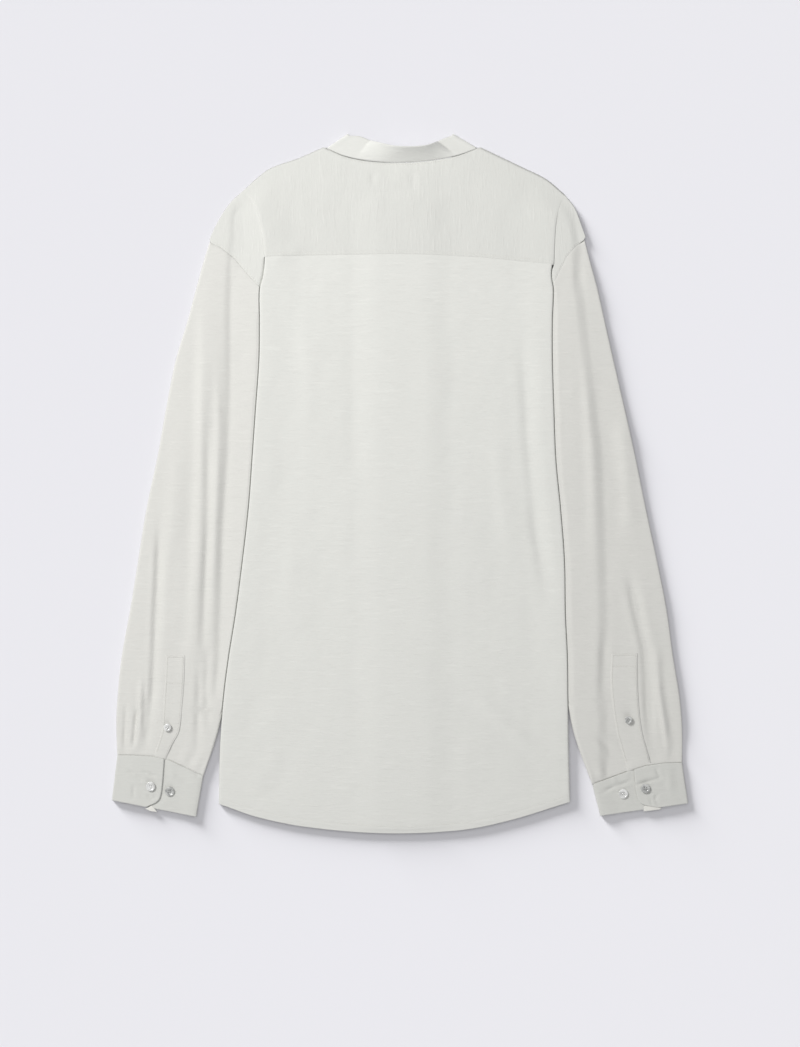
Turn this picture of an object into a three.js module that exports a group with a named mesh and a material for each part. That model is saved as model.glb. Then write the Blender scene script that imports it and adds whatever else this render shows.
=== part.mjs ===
import * as THREE from "three";

// Shirt with a band collar, laid face down with its sleeves hanging beside the body.
// Millimetres. +Y runs from the hem to the collar and +Z is up from the table.
// The tables give places as columns and rows of a squared sheet, drawn full size:
// columns count to the right and rows count from the collar down to the hem.

const SQUARE = 1.13;
const MID_COL = 402;
const MID_ROW = 483;

const WALL = 1.0;
const BAND_WALL = 1.2;
const GAP = 0.35;
const SEAM_HALF = 0.18;
const LAYER = WALL + GAP;
const GROUND = WALL / 2;
const BAND_GROUND = BAND_WALL / 2;

// Middle heights of the cloth above the table.
const TUCKED_TOP = GROUND + LAYER;
const UNDER_EDGE = TUCKED_TOP + LAYER;
const BODY_EDGE_TOP = 6.0;
const HEM_EDGE_TOP = 1.95;
const FLANK_TOP = 3.6;
const PLACKET_MID = 3.0;
const RIGHT_FRONT_MID = PLACKET_MID + LAYER;
const CENTRE_TOP = RIGHT_FRONT_MID + LAYER + 0.05;
const OVER_COLLAR_TOP = 6.2;
const NECK_TOP = 4.4;
const CONTOUR_TOP = 3.4;
const SLEEVE_TOP = 3.9;
const SLEEVE_EDGE_TOP = 3.4;

const SIDE_TURN = 28;
const TUCK_FLAT = 15;
const FOLD_STEP = 2.4;
const OPEN_FROM = 3;
const OPEN_OVER = 8;
const COLLAR_HEIGHT = 25.5;
const COLLAR_CLEAR = 0.85;
const PLACKET_HALF = 15;
const RISE_FROM = 24;
const RISE_OVER = 34;

// Outline of the body seen from above: row, left column, right column.
const BODY_EDGE = [
  { row: 192, left: 245, right: 565 },
  { row: 203, left: 254, right: 560 },
  { row: 222, left: 261, right: 555.5 },
  { row: 246, left: 265, right: 553.5 },
  { row: 258, left: 265, right: 553 },
  { row: 275, left: 263.5, right: 551 },
  { row: 290, left: 260, right: 553 },
  { row: 320, left: 260, right: 552 },
  { row: 360, left: 259.5, right: 552 },
  { row: 410, left: 256, right: 553.5 },
  { row: 460, left: 252.5, right: 555.5 },
  { row: 507, left: 249, right: 560 },
  { row: 560, left: 243, right: 564 },
  { row: 614, left: 236, right: 565 },
  { row: 658, left: 229, right: 567 },
  { row: 698, left: 224, right: 567.5 },
  { row: 750, left: 220, right: 568.5 },
  { row: 804, left: 219, right: 570 },
  { row: 835, left: 219, right: 571 },
];

const YOKE_SEAM = [
  { col: 240, row: 258 },
  { col: 265, row: 257.5 },
  { col: 300, row: 256.5 },
  { col: 350, row: 255.5 },
  { col: 404, row: 255 },
  { col: 470, row: 257.5 },
  { col: 510, row: 261 },
  { col: 546, row: 264.5 },
  { col: 580, row: 266 },
];

const BACK_HEM = [
  { col: 200, row: 798 },
  { col: 219, row: 804 },
  { col: 257, row: 817 },
  { col: 308, row: 827 },
  { col: 384, row: 833 },
  { col: 460, row: 830 },
  { col: 511, row: 820 },
  { col: 570, row: 802 },
  { col: 590, row: 796 },
];

const FRONT_HEM = [
  { col: 244, row: 804 },
  { col: 270, row: 811 },
  { col: 308, row: 818 },
  { col: 384, row: 824 },
  { col: 460, row: 821 },
  { col: 511, row: 811 },
  { col: 545, row: 802 },
];

// Each side of the shoulder, as places on the sheet.
const SHOULDER = {
  left: {
    neck: [327, 148],
    contour: [
      [327, 148],
      [300, 160],
      [272, 170],
      [258, 180],
      [245, 192],
    ],
    drop: [
      [245, 192],
      [232, 204],
      [220, 222],
      [210, 243],
    ],
    fold: [
      [265, 257.3],
      [265, 246],
      [261, 222],
      [254, 203],
      [245, 192],
    ],
    armhole: [
      [210, 243],
      [220, 247],
      [234, 258],
      [248, 275],
      [259, 287],
      [268, 294],
    ],
    frontNeck: [331, 178],
    seamInner: 335,
  },
  right: {
    neck: [477, 148],
    contour: [
      [477, 148],
      [500, 159],
      [523, 170],
      [545, 181],
      [563, 196],
    ],
    drop: [
      [563, 196],
      [573, 209],
      [580, 227],
      [584.5, 240],
    ],
    fold: [
      [553, 265],
      [553.6, 248],
      [555, 226],
      [558.5, 208],
      [563, 196],
    ],
    armhole: [
      [584.5, 240],
      [576, 246],
      [567, 256],
      [560, 270],
      [553, 284],
      [544, 294],
    ],
    frontNeck: [473, 178],
    seamInner: 470,
  },
};

const BACK_NECK = [
  [327, 148],
  [345, 157],
  [370, 162],
  [397, 163.5],
  [425, 162],
  [455, 157],
  [477, 148],
];

const COLLAR_TOP = [
  [348, 134],
  [360, 137],
  [375, 143],
  [397, 149],
  [425, 148],
  [442, 140],
  [453, 134],
];

const FRONT_NECK = {
  left: [
    [340, 205],
    [358, 226],
    [380, 234],
    [402, 235.5],
    [415, 235.5],
  ],
  right: [
    [464, 205],
    [446, 226],
    [424, 234],
    [402, 235.5],
    [389, 235.5],
  ],
};

const COLLAR_FRONT_TOP = {
  left: [
    [352, 157],
    [359, 180],
    [369, 198],
    [384, 209],
    [402, 212.5],
    [415, 212.5],
  ],
  right: [
    [451, 157],
    [445, 180],
    [435, 198],
    [420, 209],
    [402, 212.5],
    [389, 212.5],
  ],
};

// Stations down the sleeves below the armhole seam: outer and inner end of each.
const SLEEVE = {
  left: [
    { outer: [204, 262], inner: [270, 303] },
    { outer: [197, 287], inner: [272, 318] },
    { outer: [188, 320], inner: [272, 340] },
    { outer: [176, 360], inner: [271, 372] },
    { outer: [166, 410], inner: [268, 416] },
    { outer: [158, 455], inner: [264, 462] },
    { outer: [147, 507], inner: [260, 512] },
    { outer: [139, 556], inner: [254, 562] },
    { outer: [131, 606], inner: [246, 612] },
    { outer: [122, 656], inner: [234, 663] },
    { outer: [118, 694], inner: [225, 702] },
    { outer: [116.5, 724], inner: [217, 736] },
  ],
  right: [
    { outer: [589, 258], inner: [541, 303] },
    { outer: [597, 287], inner: [540, 318] },
    { outer: [604.5, 320], inner: [540, 340] },
    { outer: [613.5, 360], inner: [540, 372] },
    { outer: [625, 410], inner: [541, 416] },
    { outer: [635, 455], inner: [543, 462] },
    { outer: [645.5, 507], inner: [547.5, 512] },
    { outer: [656, 556], inner: [552, 562] },
    { outer: [666, 606], inner: [555, 612] },
    { outer: [673, 656], inner: [561, 664] },
    { outer: [679.5, 697], inner: [568, 706] },
    { outer: [682, 727], inner: [575, 738] },
  ],
};

// Cuffs: ends of the seam line and of the lower edge, and how far the upper layer laps.
const CUFF = {
  left: [
    { outer: [114.6, 779], inner: [199.8, 797], lap: 0.555 },
    { outer: [113, 792], inner: [197.8, 808.5], lap: 0.53 },
    { outer: [112, 800], inner: [196.5, 816.5], lap: 0.42 },
  ],
  right: [
    { outer: [685, 783], inner: [596, 800], lap: 0.545 },
    { outer: [687, 796], inner: [598.6, 809.5], lap: 0.53 },
    { outer: [688, 803], inner: [600, 815.5], lap: 0.44 },
  ],
};
const CUFF_SEAM = {
  left: [
    [117.5, 754.8],
    [135, 755],
    [153, 756],
    [170, 760],
    [187, 768],
    [203.5, 775.5],
  ],
  right: [
    [682, 762.3],
    [664, 762.8],
    [646, 765.3],
    [628, 771],
    [610, 777.7],
    [592, 784],
  ],
};
const CUFF_SEAM_LAP = 8 / 15;
const UNDER_LAP_STEP = 4;

// Plackets above the cuffs, down from their pointed top: left and right column per row.
const SLEEVE_PLACKET = {
  left: [
    { row: 655, left: 166, right: 185.5 },
    { row: 680, left: 165, right: 184.8 },
    { row: 705, left: 163.5, right: 182.6 },
    { row: 731, left: 161.5, right: 179.5 },
    { row: 745, left: 157.5, right: 172 },
    { row: 754.4, left: 154, right: 168 },
  ],
  right: [
    { row: 653, left: 611, right: 637.5 },
    { row: 680, left: 610, right: 637.6 },
    { row: 705, left: 612, right: 638.8 },
    { row: 731, left: 616, right: 642 },
    { row: 750, left: 621, right: 647 },
    { row: 762, left: 624.5, right: 650.5 },
  ],
};

// Folds seen from above: path of each, how far it lifts the cloth and how wide it is.
const BACK_FOLDS = [
  { path: [[310, 323], [311, 385], [308, 445]], lift: 0.7, reach: 16 },
  { path: [[354, 300], [352, 380], [356, 455]], lift: -0.6, reach: 14 },
  { path: [[430, 300], [431, 380], [428, 455]], lift: 0.5, reach: 15 },
  { path: [[526, 353], [527, 429], [536, 531], [546, 586]], lift: -1.1, reach: 9 },
  { path: [[475, 698], [512, 730], [546, 761]], lift: 0.8, reach: 9 },
  { path: [[293, 560], [292, 600]], lift: 0.7, reach: 18 },
  { path: [[290, 770], [275, 795]], lift: -0.6, reach: 14 },
  { path: [[373, 172], [372, 186]], lift: 0.5, reach: 6 },
  { path: [[412, 172], [413, 192]], lift: 0.5, reach: 6 },
];

const SLEEVE_FOLDS = {
  left: [
    {
      path: [[233, 206], [236, 258], [229, 280], [228, 340], [230, 400], [226, 458]],
      lift: -0.7,
      reach: 6,
    },
    { path: [[208, 430], [207, 522], [205, 568], [202, 629]], lift: -1.3, reach: 6 },
    { path: [[196, 440], [196, 490], [195, 540]], lift: 0.8, reach: 7 },
    { path: [[229, 430], [223.5, 507], [222, 568], [220, 629]], lift: -1.4, reach: 5 },
    {
      path: [[160, 525], [158, 568], [156, 606], [154, 657], [152, 690], [148, 725]],
      lift: -1.5,
      reach: 5.5,
    },
    { path: [[201, 640], [200, 700], [199, 754]], lift: -0.9, reach: 6 },
    { path: [[138, 700], [134, 741]], lift: -0.8, reach: 4.5 },
  ],
  right: [
    { path: [[573, 212], [574, 260], [577, 290]], lift: -0.7, reach: 6 },
    {
      path: [[586, 290], [588, 330], [594, 380], [596, 456], [600, 520], [603, 600], [602, 700]],
      lift: -1.3,
      reach: 6,
    },
    { path: [[620, 420], [627, 480], [629, 530]], lift: 0.7, reach: 9 },
    { path: [[628, 573], [638, 614], [646, 650], [650, 700], [653, 754]], lift: -1.4, reach: 6 },
    { path: [[655, 656], [660, 700], [667, 745]], lift: 0.9, reach: 5 },
  ],
};

const BUTTON = {
  cuff: { radius: 5.4, thick: 2.2 },
  sleeve: { radius: 4.4, thick: 2.0 },
  front: { radius: 5.4, thick: 2.15 },
};

const CUFF_BUTTONS = {
  left: [[151, 786], [170, 791]],
  right: [[645, 788], [623, 793.5]],
};
const PLACKET_BUTTONS = { left: [168, 727], right: [628, 719.5] };
const FRONT_BUTTON_ROWS = [250, 330, 410, 490, 570, 650, 730];
const COLLAR_BUTTON_ROW = 224;

const OFF_WHITE = 0xe3e4df;
const YOKE_WHITE = 0xe0e1dc;
const BUTTON_PEARL = 0xd9dad6;

const mix = (a, b, t) => a + (b - a) * t;

function smooth(t) {
  const s = Math.min(1, Math.max(0, t));
  return s * s * (3 - 2 * s);
}

// Reads a table of named columns at a value of its key, with soft bends between rows.
function read(table, key, name, at) {
  const n = table.length;
  if (at <= table[0][key]) return table[0][name];
  if (at >= table[n - 1][key]) return table[n - 1][name];
  let i = 0;
  while (at > table[i + 1][key]) i += 1;
  const slope = (k) => {
    const a = table[Math.max(0, k - 1)];
    const b = table[Math.min(n - 1, k + 1)];
    return (b[name] - a[name]) / (b[key] - a[key]);
  };
  const a = table[i];
  const b = table[i + 1];
  const span = b[key] - a[key];
  const t = (at - a[key]) / span;
  const t2 = t * t;
  const t3 = t2 * t;
  return (
    (2 * t3 - 3 * t2 + 1) * a[name] +
    (t3 - 2 * t2 + t) * span * slope(i) +
    (3 * t2 - 2 * t3) * b[name] +
    (t3 - t2) * span * slope(i + 1)
  );
}

// Spaces count points evenly along a bent line of places.
function along(points, count) {
  const steps = [0];
  for (let i = 1; i < points.length; i += 1) {
    const dx = points[i][0] - points[i - 1][0];
    const dy = points[i][1] - points[i - 1][1];
    steps.push(steps[i - 1] + Math.hypot(dx, dy));
  }
  const rows = points.map((p, i) => ({ run: steps[i], col: p[0], row: p[1] }));
  const total = steps[steps.length - 1];
  const out = [];
  for (let i = 0; i < count; i += 1) {
    const run = (total * i) / (count - 1);
    out.push([read(rows, "run", "col", run), read(rows, "run", "row", run)]);
  }
  return out;
}

// Distance in millimetres from a place to a bent line.
function nearest(path, col, row) {
  let best = Infinity;
  for (let i = 1; i < path.length; i += 1) {
    const [ax, ay] = path[i - 1];
    const dx = path[i][0] - ax;
    const dy = path[i][1] - ay;
    const t = ((col - ax) * dx + (row - ay) * dy) / (dx * dx + dy * dy);
    const s = Math.min(1, Math.max(0, t));
    best = Math.min(best, Math.hypot(col - ax - dx * s, row - ay - dy * s) * SQUARE);
  }
  return best;
}

function lifted(folds, col, row) {
  let z = 0;
  for (const fold of folds) {
    z += fold.lift * Math.exp(-((nearest(fold.path, col, row) / fold.reach) ** 2));
  }
  return z;
}

// Fills a four-sided patch from its edges, each a list of [col, row].
function fill(bottom, top, left, right) {
  const cols = bottom.length;
  const rows = left.length;
  const grid = [];
  for (let j = 0; j < rows; j += 1) {
    const v = j / (rows - 1);
    const line = [];
    for (let i = 0; i < cols; i += 1) {
      const u = i / (cols - 1);
      const place = [0, 1].map(
        (k) =>
          mix(bottom[i][k], top[i][k], v) +
          mix(left[j][k], right[j][k], u) -
          mix(mix(bottom[0][k], bottom[cols - 1][k], u), mix(top[0][k], top[cols - 1][k], u), v),
      );
      line.push(place);
    }
    grid.push(line);
  }
  return grid;
}

// Fills a patch whose lines all start from one corner and end along the inner edge.
function fan(low, high, inner) {
  const last = inner.length - 1;
  return inner.map((end, j) => {
    const v = j / last;
    return low.map((p, i) => {
      const u = (i / (low.length - 1)) ** 2;
      return [0, 1].map((k) => mix(p[k], high[i][k], v) + u * (end[k] - mix(inner[0][k], inner[last][k], v)));
    });
  });
}

const point = (col, row, z) => [(col - MID_COL) * SQUARE, (MID_ROW - row) * SQUARE, z];

function raise(grid, height) {
  return grid.map((line) => line.map(([col, row]) => point(col, row, height(col, row))));
}

// Thickens patches of middle points, which share their touching points, to one closed wall.
function wall(patches, thick) {
  const points = [];
  const known = new Map();
  const faces = [];
  const number = (p) => {
    const key = p.map((c) => Math.round(c * 500)).join(" ");
    if (!known.has(key)) {
      known.set(key, points.length);
      points.push(new THREE.Vector3(...p));
    }
    return known.get(key);
  };
  for (const grid of patches) {
    const ids = grid.map((line) => line.map(number));
    for (let j = 1; j < ids.length; j += 1) {
      for (let i = 1; i < ids[j].length; i += 1) {
        const a = ids[j - 1][i - 1];
        const b = ids[j - 1][i];
        const c = ids[j][i];
        const d = ids[j][i - 1];
        for (const face of [[a, b, c], [a, c, d]]) {
          if (new Set(face).size === 3) faces.push(face);
        }
      }
    }
  }
  const normals = points.map(() => new THREE.Vector3());
  const edges = new Map();
  for (const [a, b, c] of faces) {
    const ab = points[b].clone().sub(points[a]);
    const ac = points[c].clone().sub(points[a]);
    const n = ab.cross(ac).normalize();
    for (const [k, p, q] of [[a, b, c], [b, c, a], [c, a, b]]) {
      const u = points[p].clone().sub(points[k]);
      const v = points[q].clone().sub(points[k]);
      normals[k].addScaledVector(n, u.angleTo(v));
      edges.set(`${k} ${p}`, [k, p]);
    }
  }
  normals.forEach((n) => n.normalize());
  const place = [];
  for (const side of [1, -1]) {
    points.forEach((p, i) => place.push(p.clone().addScaledVector(normals[i], (side * thick) / 2)));
  }
  const below = points.length;
  const index = [];
  for (const [a, b, c] of faces) {
    index.push(a, b, c, below + a, below + c, below + b);
  }
  for (const [a, b] of edges.values()) {
    if (!edges.has(`${b} ${a}`)) {
      index.push(b, a, below + a, b, below + a, below + b);
    }
  }
  const geometry = new THREE.BufferGeometry();
  geometry.setAttribute("position", new THREE.Float32BufferAttribute(place.flatMap((p) => p.toArray()), 3));
  geometry.setIndex(index);
  return geometry;
}

const group = new THREE.Group();
group.name = "shirt";

function add(name, geometry, color, roughness = 0.9) {
  geometry.computeVertexNormals();
  const material = new THREE.MeshStandardMaterial({ color, roughness, metalness: 0 });
  const mesh = new THREE.Mesh(geometry, material);
  mesh.name = name;
  group.add(mesh);
  return mesh;
}

const leftEdge = (row) => read(BODY_EDGE, "row", "left", row);
const rightEdge = (row) => read(BODY_EDGE, "row", "right", row);
const fromCentre = (col) => Math.abs(col - MID_COL) * SQUARE;
const rise = (col) => 1 - smooth((fromCentre(col) - RISE_FROM) / RISE_OVER);
const edgeTop = (row) => mix(BODY_EDGE_TOP, HEM_EDGE_TOP + 1.6, smooth((row - 690) / 90));
const underTop = (row) => mix(UNDER_EDGE, GROUND, smooth((row - 700) / 70));

// Height of the body's upper layer.
function bodyTop(col, row) {
  const inside = Math.min(col - leftEdge(row), rightEdge(row) - col) * SQUARE;
  const side = mix(edgeTop(row), FLANK_TOP, smooth(inside / 45));
  const overCollar = smooth((row - 190) / 18) * (1 - smooth((row - 245) / 10));
  const middle = mix(mix(NECK_TOP, CENTRE_TOP, smooth((row - 190) / 18)), OVER_COLLAR_TOP, overCollar);
  const base = mix(side, middle, rise(col));
  const calm = smooth((inside - 3) / 12) * (1 - 0.75 * rise(col) * (row > 205 ? 1 : 0));
  const z = base + lifted(BACK_FOLDS, col, row) * calm;
  const aboveHem = (read(BACK_HEM, "col", "row", col) - row) * SQUARE;
  return mix(HEM_EDGE_TOP, z, smooth(aboveHem / 9));
}

// Height of the yoke, which comes down to the shoulder fold.
function yokeTop(col, row) {
  const left = nearest(SHOULDER.left.contour, col, row);
  const right = nearest(SHOULDER.right.contour, col, row);
  return mix(CONTOUR_TOP, bodyTop(col, row), smooth(Math.min(left, right) / 28));
}

// Millimetres outside the body's edge on one side.
function outside(side, col, row) {
  return side === "left" ? (leftEdge(row) - col) * SQUARE : (col - rightEdge(row)) * SQUARE;
}

// Height of the dropped shoulder and the top of the sleeve beside the body.
function sleeveTop(side, col, row) {
  const out = outside(side, col, row);
  const open = smooth((out - OPEN_FROM) / OPEN_OVER);
  const drop = smooth(nearest(SHOULDER[side].armhole, col, row) / 45);
  const fold = lifted(SLEEVE_FOLDS[side], col, row);
  const free = SLEEVE_EDGE_TOP + (SLEEVE_TOP - SLEEVE_EDGE_TOP + fold) * drop;
  return mix(TUCKED_TOP, Math.max(TUCKED_TOP + 0.1, free), open);
}

function stripTop(side, col, row) {
  const out = outside(side, col, row);
  const tucked = smooth((row - 257) / 7);
  const open = mix(1, smooth((out - OPEN_FROM) / OPEN_OVER), tucked);
  return mix(TUCKED_TOP, CONTOUR_TOP, open);
}

function rollPoints(centre, outward, radius, z, steps, from = 0) {
  const out = [];
  for (let i = from; i <= steps; i += 1) {
    const turn = (Math.PI * i) / steps;
    const reach = radius * Math.sin(turn);
    out.push([centre[0] + outward[0] * reach, centre[1] + outward[1] * reach, z + radius * Math.cos(turn)]);
  }
  return out;
}

// Shares of the way from the yoke seam to the hem at which the body has a line of points.
const BODY_LINES = [
  0, 0.02, 0.045, 0.075, 0.11, 0.16, 0.22, 0.29, 0.36, 0.43, 0.5, 0.57, 0.64, 0.71, 0.77, 0.83, 0.885, 0.93,
  0.965, 0.984, 0.992, 1,
];

// Row of a body line at the edge of one side.
function edgeRow(side, f) {
  const seamLift = (1 - f) * SEAM_HALF;
  return side === "left" ? mix(257.5, 804, f) + seamLift : mix(265, 802, f) + seamLift;
}

// Back: upper layer, rolled side edges and the turned-in parts that reach the side seams.
function makeBack() {
  const across = 22;
  const grid = BODY_LINES.map((f) => {
    const seamLift = (1 - f) * SEAM_HALF;
    const rowLeft = edgeRow("left", f);
    const rowRight = edgeRow("right", f);
    const left = leftEdge(rowLeft) + WALL / 2 / SQUARE;
    const right = rightEdge(rowRight) - WALL / 2 / SQUARE;
    const place = (q) => {
      const col = mix(left, right, q);
      const top = read(YOKE_SEAM, "col", "row", mix(265, 553, q));
      const low = read(BACK_HEM, "col", "row", mix(219, 570, q));
      return [col, mix(top, low, f) + seamLift];
    };
    const turned = (edge, row, sign) => {
      const reach = mix(12, SIDE_TURN, smooth((row - 262) / 34));
      const under = underTop(row);
      const end = mix(under, GROUND, smooth((row - 297) / 14));
      const top = bodyTop(edge + (sign * 1.4) / SQUARE, row);
      const radius = (top - under) / 2;
      const centre = point(edge + (sign * radius) / SQUARE, row, 0);
      const roll = rollPoints(centre, [-sign, 0], radius, under + radius, 5, 1);
      const inner = [TUCK_FLAT / SIDE_TURN, 0.8, 1].map((part, i) => {
        const z = i === 0 ? under : i === 1 ? mix(under, end, 0.6) : end;
        return point(edge + (sign * reach * part) / SQUARE, row, z);
      });
      return { list: [...roll, ...inner], inset: radius / SQUARE };
    };
    const l = turned(left, rowLeft, 1);
    const r = turned(right, rowRight, -1);
    const top = [];
    for (let i = 0; i <= across; i += 1) {
      const q = i / across;
      const [col, row] = place(q);
      const shift = mix(l.inset, -r.inset, q);
      top.push(point(col + shift, row, bodyTop(col + shift, row)));
    }
    return [...l.list.reverse(), ...top, ...r.list];
  });
  add("back", wall([grid.reverse()], WALL), OFF_WHITE);
}

const unit = (x, y) => {
  const size = Math.hypot(x, y);
  return [x / size, y / size];
};

// Directions that point away from the cloth, square to a line of places, in millimetres.
function outwards(line, sign) {
  return line.map((p, i) => {
    const a = line[Math.max(0, i - 1)];
    const b = line[Math.min(line.length - 1, i + 1)];
    const [x, y] = unit((b[0] - a[0]) * SQUARE, (a[1] - b[1]) * SQUARE);
    return [y * sign, -x * sign];
  });
}

const sideSign = { left: 1, right: -1 };
const ARMHOLE_CORNER = { left: unit(-0.93, 0.36), right: unit(0.93, 0.36) };
const NECK_CORNER = { left: unit(-0.49, 0.87), right: unit(0.49, 0.87) };
const CONTOUR_RADIUS = (CONTOUR_TOP - GROUND) / 2;
const CONTOUR_INSET = (CONTOUR_RADIUS + WALL / 2) / SQUARE;

// Armhole seam of one side, moved square to itself; its first place stands in by the roll.
function armholeLine(side, move) {
  const { armhole } = SHOULDER[side];
  const away = outwards(armhole, sideSign[side]);
  const line = armhole.map(([col, row], i) => [col + away[i][0] * move, row - away[i][1] * move]);
  const share = CONTOUR_INSET / Math.hypot(armhole[1][0] - armhole[0][0], armhole[1][1] - armhole[0][1]);
  line[0] = [mix(line[0][0], line[1][0], share), mix(line[0][1], line[1][1], share)];
  if (move < 0) line[5] = [mix(line[5][0], line[4][0], 0.1), mix(line[5][1], line[4][1], 0.1)];
  return line;
}

function makeYoke() {
  const rows = 8;
  const middle = 9;
  const wide = 6;
  const tongueRows = 3;
  const patches = [];
  const seam = (col) => read(YOKE_SEAM, "col", "row", col) - SEAM_HALF;
  const neckColumn = {};
  for (const side of ["left", "right"]) {
    const s = SHOULDER[side];
    const sign = sideSign[side];
    const low = armholeLine(side, -SEAM_HALF);
    const stripCols = low.length;
    const dropFine = along(s.drop, 101);
    const dropPart = (k) => dropFine[Math.round(100 * (k / stripCols) ** 1.5)];
    const whole = [...along(s.contour, wide), ...s.armhole.map((_, k) => dropPart(k + 1))];
    const end = whole.length - 1;
    const away = outwards(whole, -sign);
    away[0] = NECK_CORNER[side];
    away[end] = ARMHOLE_CORNER[side];
    const start = whole.map((p, i) => [p[0] - away[i][0] * CONTOUR_INSET, p[1] + away[i][1] * CONTOUR_INSET]);
    start[0] = [start[0][0] - sign * SEAM_HALF, start[0][1]];
    start[end] = low[0];
    const foot = [s.seamInner, seam(s.seamInner)];
    const column = along([foot, start[0]], rows);
    neckColumn[side] = column;
    const fold = along([...s.fold.slice(0, -1), start[wide - 1]], rows);
    fold[0] = [fold[0][0], seam(fold[0][0])];
    const half = mix(foot[0], fold[0][0], 0.5);
    const bottom = along([foot, [half, seam(half)], fold[0]], wide);
    const main = fill(bottom, start.slice(0, wide), column, fold);
    // The fold's step lies between the body and the dropped shoulder.
    const step = fold.map(([col, row], i) => {
      const fade = smooth(1 - i / (rows - 1));
      return [col - sign * FOLD_STEP * mix(0.55, 1, fade), row];
    });
    step[rows - 1] = start[wide];
    const corner = low[stripCols - 1];
    const bend = [mix(step[0][0], corner[0], 0.5), mix(step[0][1], corner[1], 0.5)];
    const inner = [...along([corner, bend, step[0]], tongueRows + 1), ...step.slice(1)];
    const strip = fan(low, start.slice(wide).reverse(), inner);
    const mainRaised = raise(main, yokeTop);
    const stripRaised = raise(strip, (col, row) => stripTop(side, col, row));
    const raisedStep = mainRaised.map((line, j) => {
      const high = line[wide - 1];
      const base = stripRaised[j + tongueRows][stripCols - 1];
      return [high, high.map((c, k) => mix(c, base[k], 0.5)), base];
    });
    // Shoulder roll and the part turned under down to the front seam.
    const tops = [
      ...mainRaised[rows - 1],
      raisedStep[rows - 1][1],
      ...stripRaised[inner.length - 1].slice().reverse(),
    ];
    const dirs = [...away.slice(0, wide), away[wide - 1], ...away.slice(wide)];
    const neckEnd = [s.frontNeck[0] - sign * 0.42, s.frontNeck[1]];
    const turned = tops.map((top, i) => {
      const r = (top[2] - GROUND) / 2;
      const list = rollPoints(top, dirs[i], r, GROUND + r, 4);
      list[0] = top;
      const u = i / (tops.length - 1);
      const ends = point(mix(neckEnd[0], low[2][0], u), mix(neckEnd[1], low[2][1], u), GROUND);
      const between = list[4].map((c, k) => mix(c, ends[k], 0.5));
      const halfway = i === tops.length - 1 ? point(...low[1], GROUND) : between;
      return [...list, halfway, ends];
    });
    const byRow = turned[0].map((_, j) => turned.map((list) => list[j]));
    const mirror = (grid) => grid.map((line) => line.slice().reverse());
    const sheets = [mainRaised, raisedStep, byRow];
    patches.push(...(sign > 0 ? sheets.map(mirror) : sheets));
    patches.push(sign > 0 ? stripRaised : mirror(stripRaised));
  }
  const neck = along(
    [neckColumn.left[rows - 1], ...BACK_NECK.slice(1, -1), neckColumn.right[rows - 1]],
    middle,
  );
  const low = along(
    [neckColumn.left[0], [404, seam(404)], neckColumn.right[0]],
    middle,
  );
  const centre = fill(low, neck, neckColumn.left, neckColumn.right);
  patches.push(raise(centre, yokeTop));
  add("yoke", wall(patches, WALL), YOKE_WHITE);
}

// Column of the side seam, where a front meets the turned-in edge of the back.
function sideSeam(side, row) {
  const inset = (WALL / 2 + SIDE_TURN + GAP + 0.08) / SQUARE;
  return side === "left" ? leftEdge(row) + inset : rightEdge(row) - inset;
}

function makeFront(side) {
  const s = SHOULDER[side];
  const sign = sideSign[side];
  const mid = side === "left" ? PLACKET_MID : RIGHT_FRONT_MID;
  const height = (col) => mix(GROUND, mid, rise(col));
  const startRow = 294;
  const steps = side === "left" ? [58, 47, 36, 25, PLACKET_HALF + GAP] : [58, 47, 36, 25, 0, -PLACKET_HALF];
  const centre = steps.map((mm) => MID_COL - (sign * mm) / SQUARE);
  const columnsAt = (row) => {
    const seam = sideSeam(side, row);
    return [seam, mix(seam, centre[0], 0.5), ...centre];
  };
  const lineRows = [startRow, ...BODY_LINES.map((f) => edgeRow(side, f)).filter((row) => row > startRow + 2)];
  const lastRow = lineRows[lineRows.length - 1];
  const body = lineRows.map((edge) => {
    const share = (edge - startRow) / (lastRow - startRow);
    return columnsAt(edge).map((col, i) => {
      const row = i === 0 ? edge : mix(startRow, read(FRONT_HEM, "col", "row", col), share);
      return point(col, row, height(col));
    });
  });
  // From the armhole up to the yoke's front seam and the neckline.
  const armhole = armholeLine(side, -SEAM_HALF).slice(2);
  const step = unit(armhole[1][0] - armhole[0][0], armhole[1][1] - armhole[0][1]);
  armhole[0] = [armhole[0][0] + step[0] * 0.4, armhole[0][1] + step[1] * 0.4];
  const armEdge = armhole.slice().reverse();
  const neckCorner = [s.frontNeck[0] - sign * 0.5, s.frontNeck[1] + 0.5];
  const neckAway = outwards([s.frontNeck, ...FRONT_NECK[side]], sign);
  const neckLine = FRONT_NECK[side].map(([col, row], i) => {
    const [x, y] = neckAway[i + 1];
    return [col + x * 0.4, row - y * 0.4];
  });
  const centreEdge = centre[centre.length - 1];
  const neckRow = 235.5 + 0.36;
  const neckPoints = side === "left" ? neckLine.slice(0, 3) : neckLine.slice(0, 4);
  const seamPoints = [0, 0.25, 0.5, 0.75, 1].map((u) => [
    mix(armhole[0][0], neckCorner[0], u),
    mix(armhole[0][1], neckCorner[1], u),
  ]);
  const topLine = [...seamPoints, ...neckPoints, [centreEdge, neckRow]];
  const first = columnsAt(startRow);
  const corner = armEdge[0];
  const bottom = [corner, [mix(corner[0], first[0], 0.5), startRow], ...first.map((col) => [col, startRow])];
  const centreLine = armEdge.map((_, j) => [centreEdge, mix(startRow, neckRow, j / (armEdge.length - 1))]);
  const upper = raise(fill(bottom, topLine, armEdge, centreLine), height);
  const flip = (grid) => (sign > 0 ? grid : grid.map((line) => line.slice().reverse()));
  add(`front_${side}`, wall([flip(body.reverse()), flip(upper)], WALL), OFF_WHITE);
}

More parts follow.
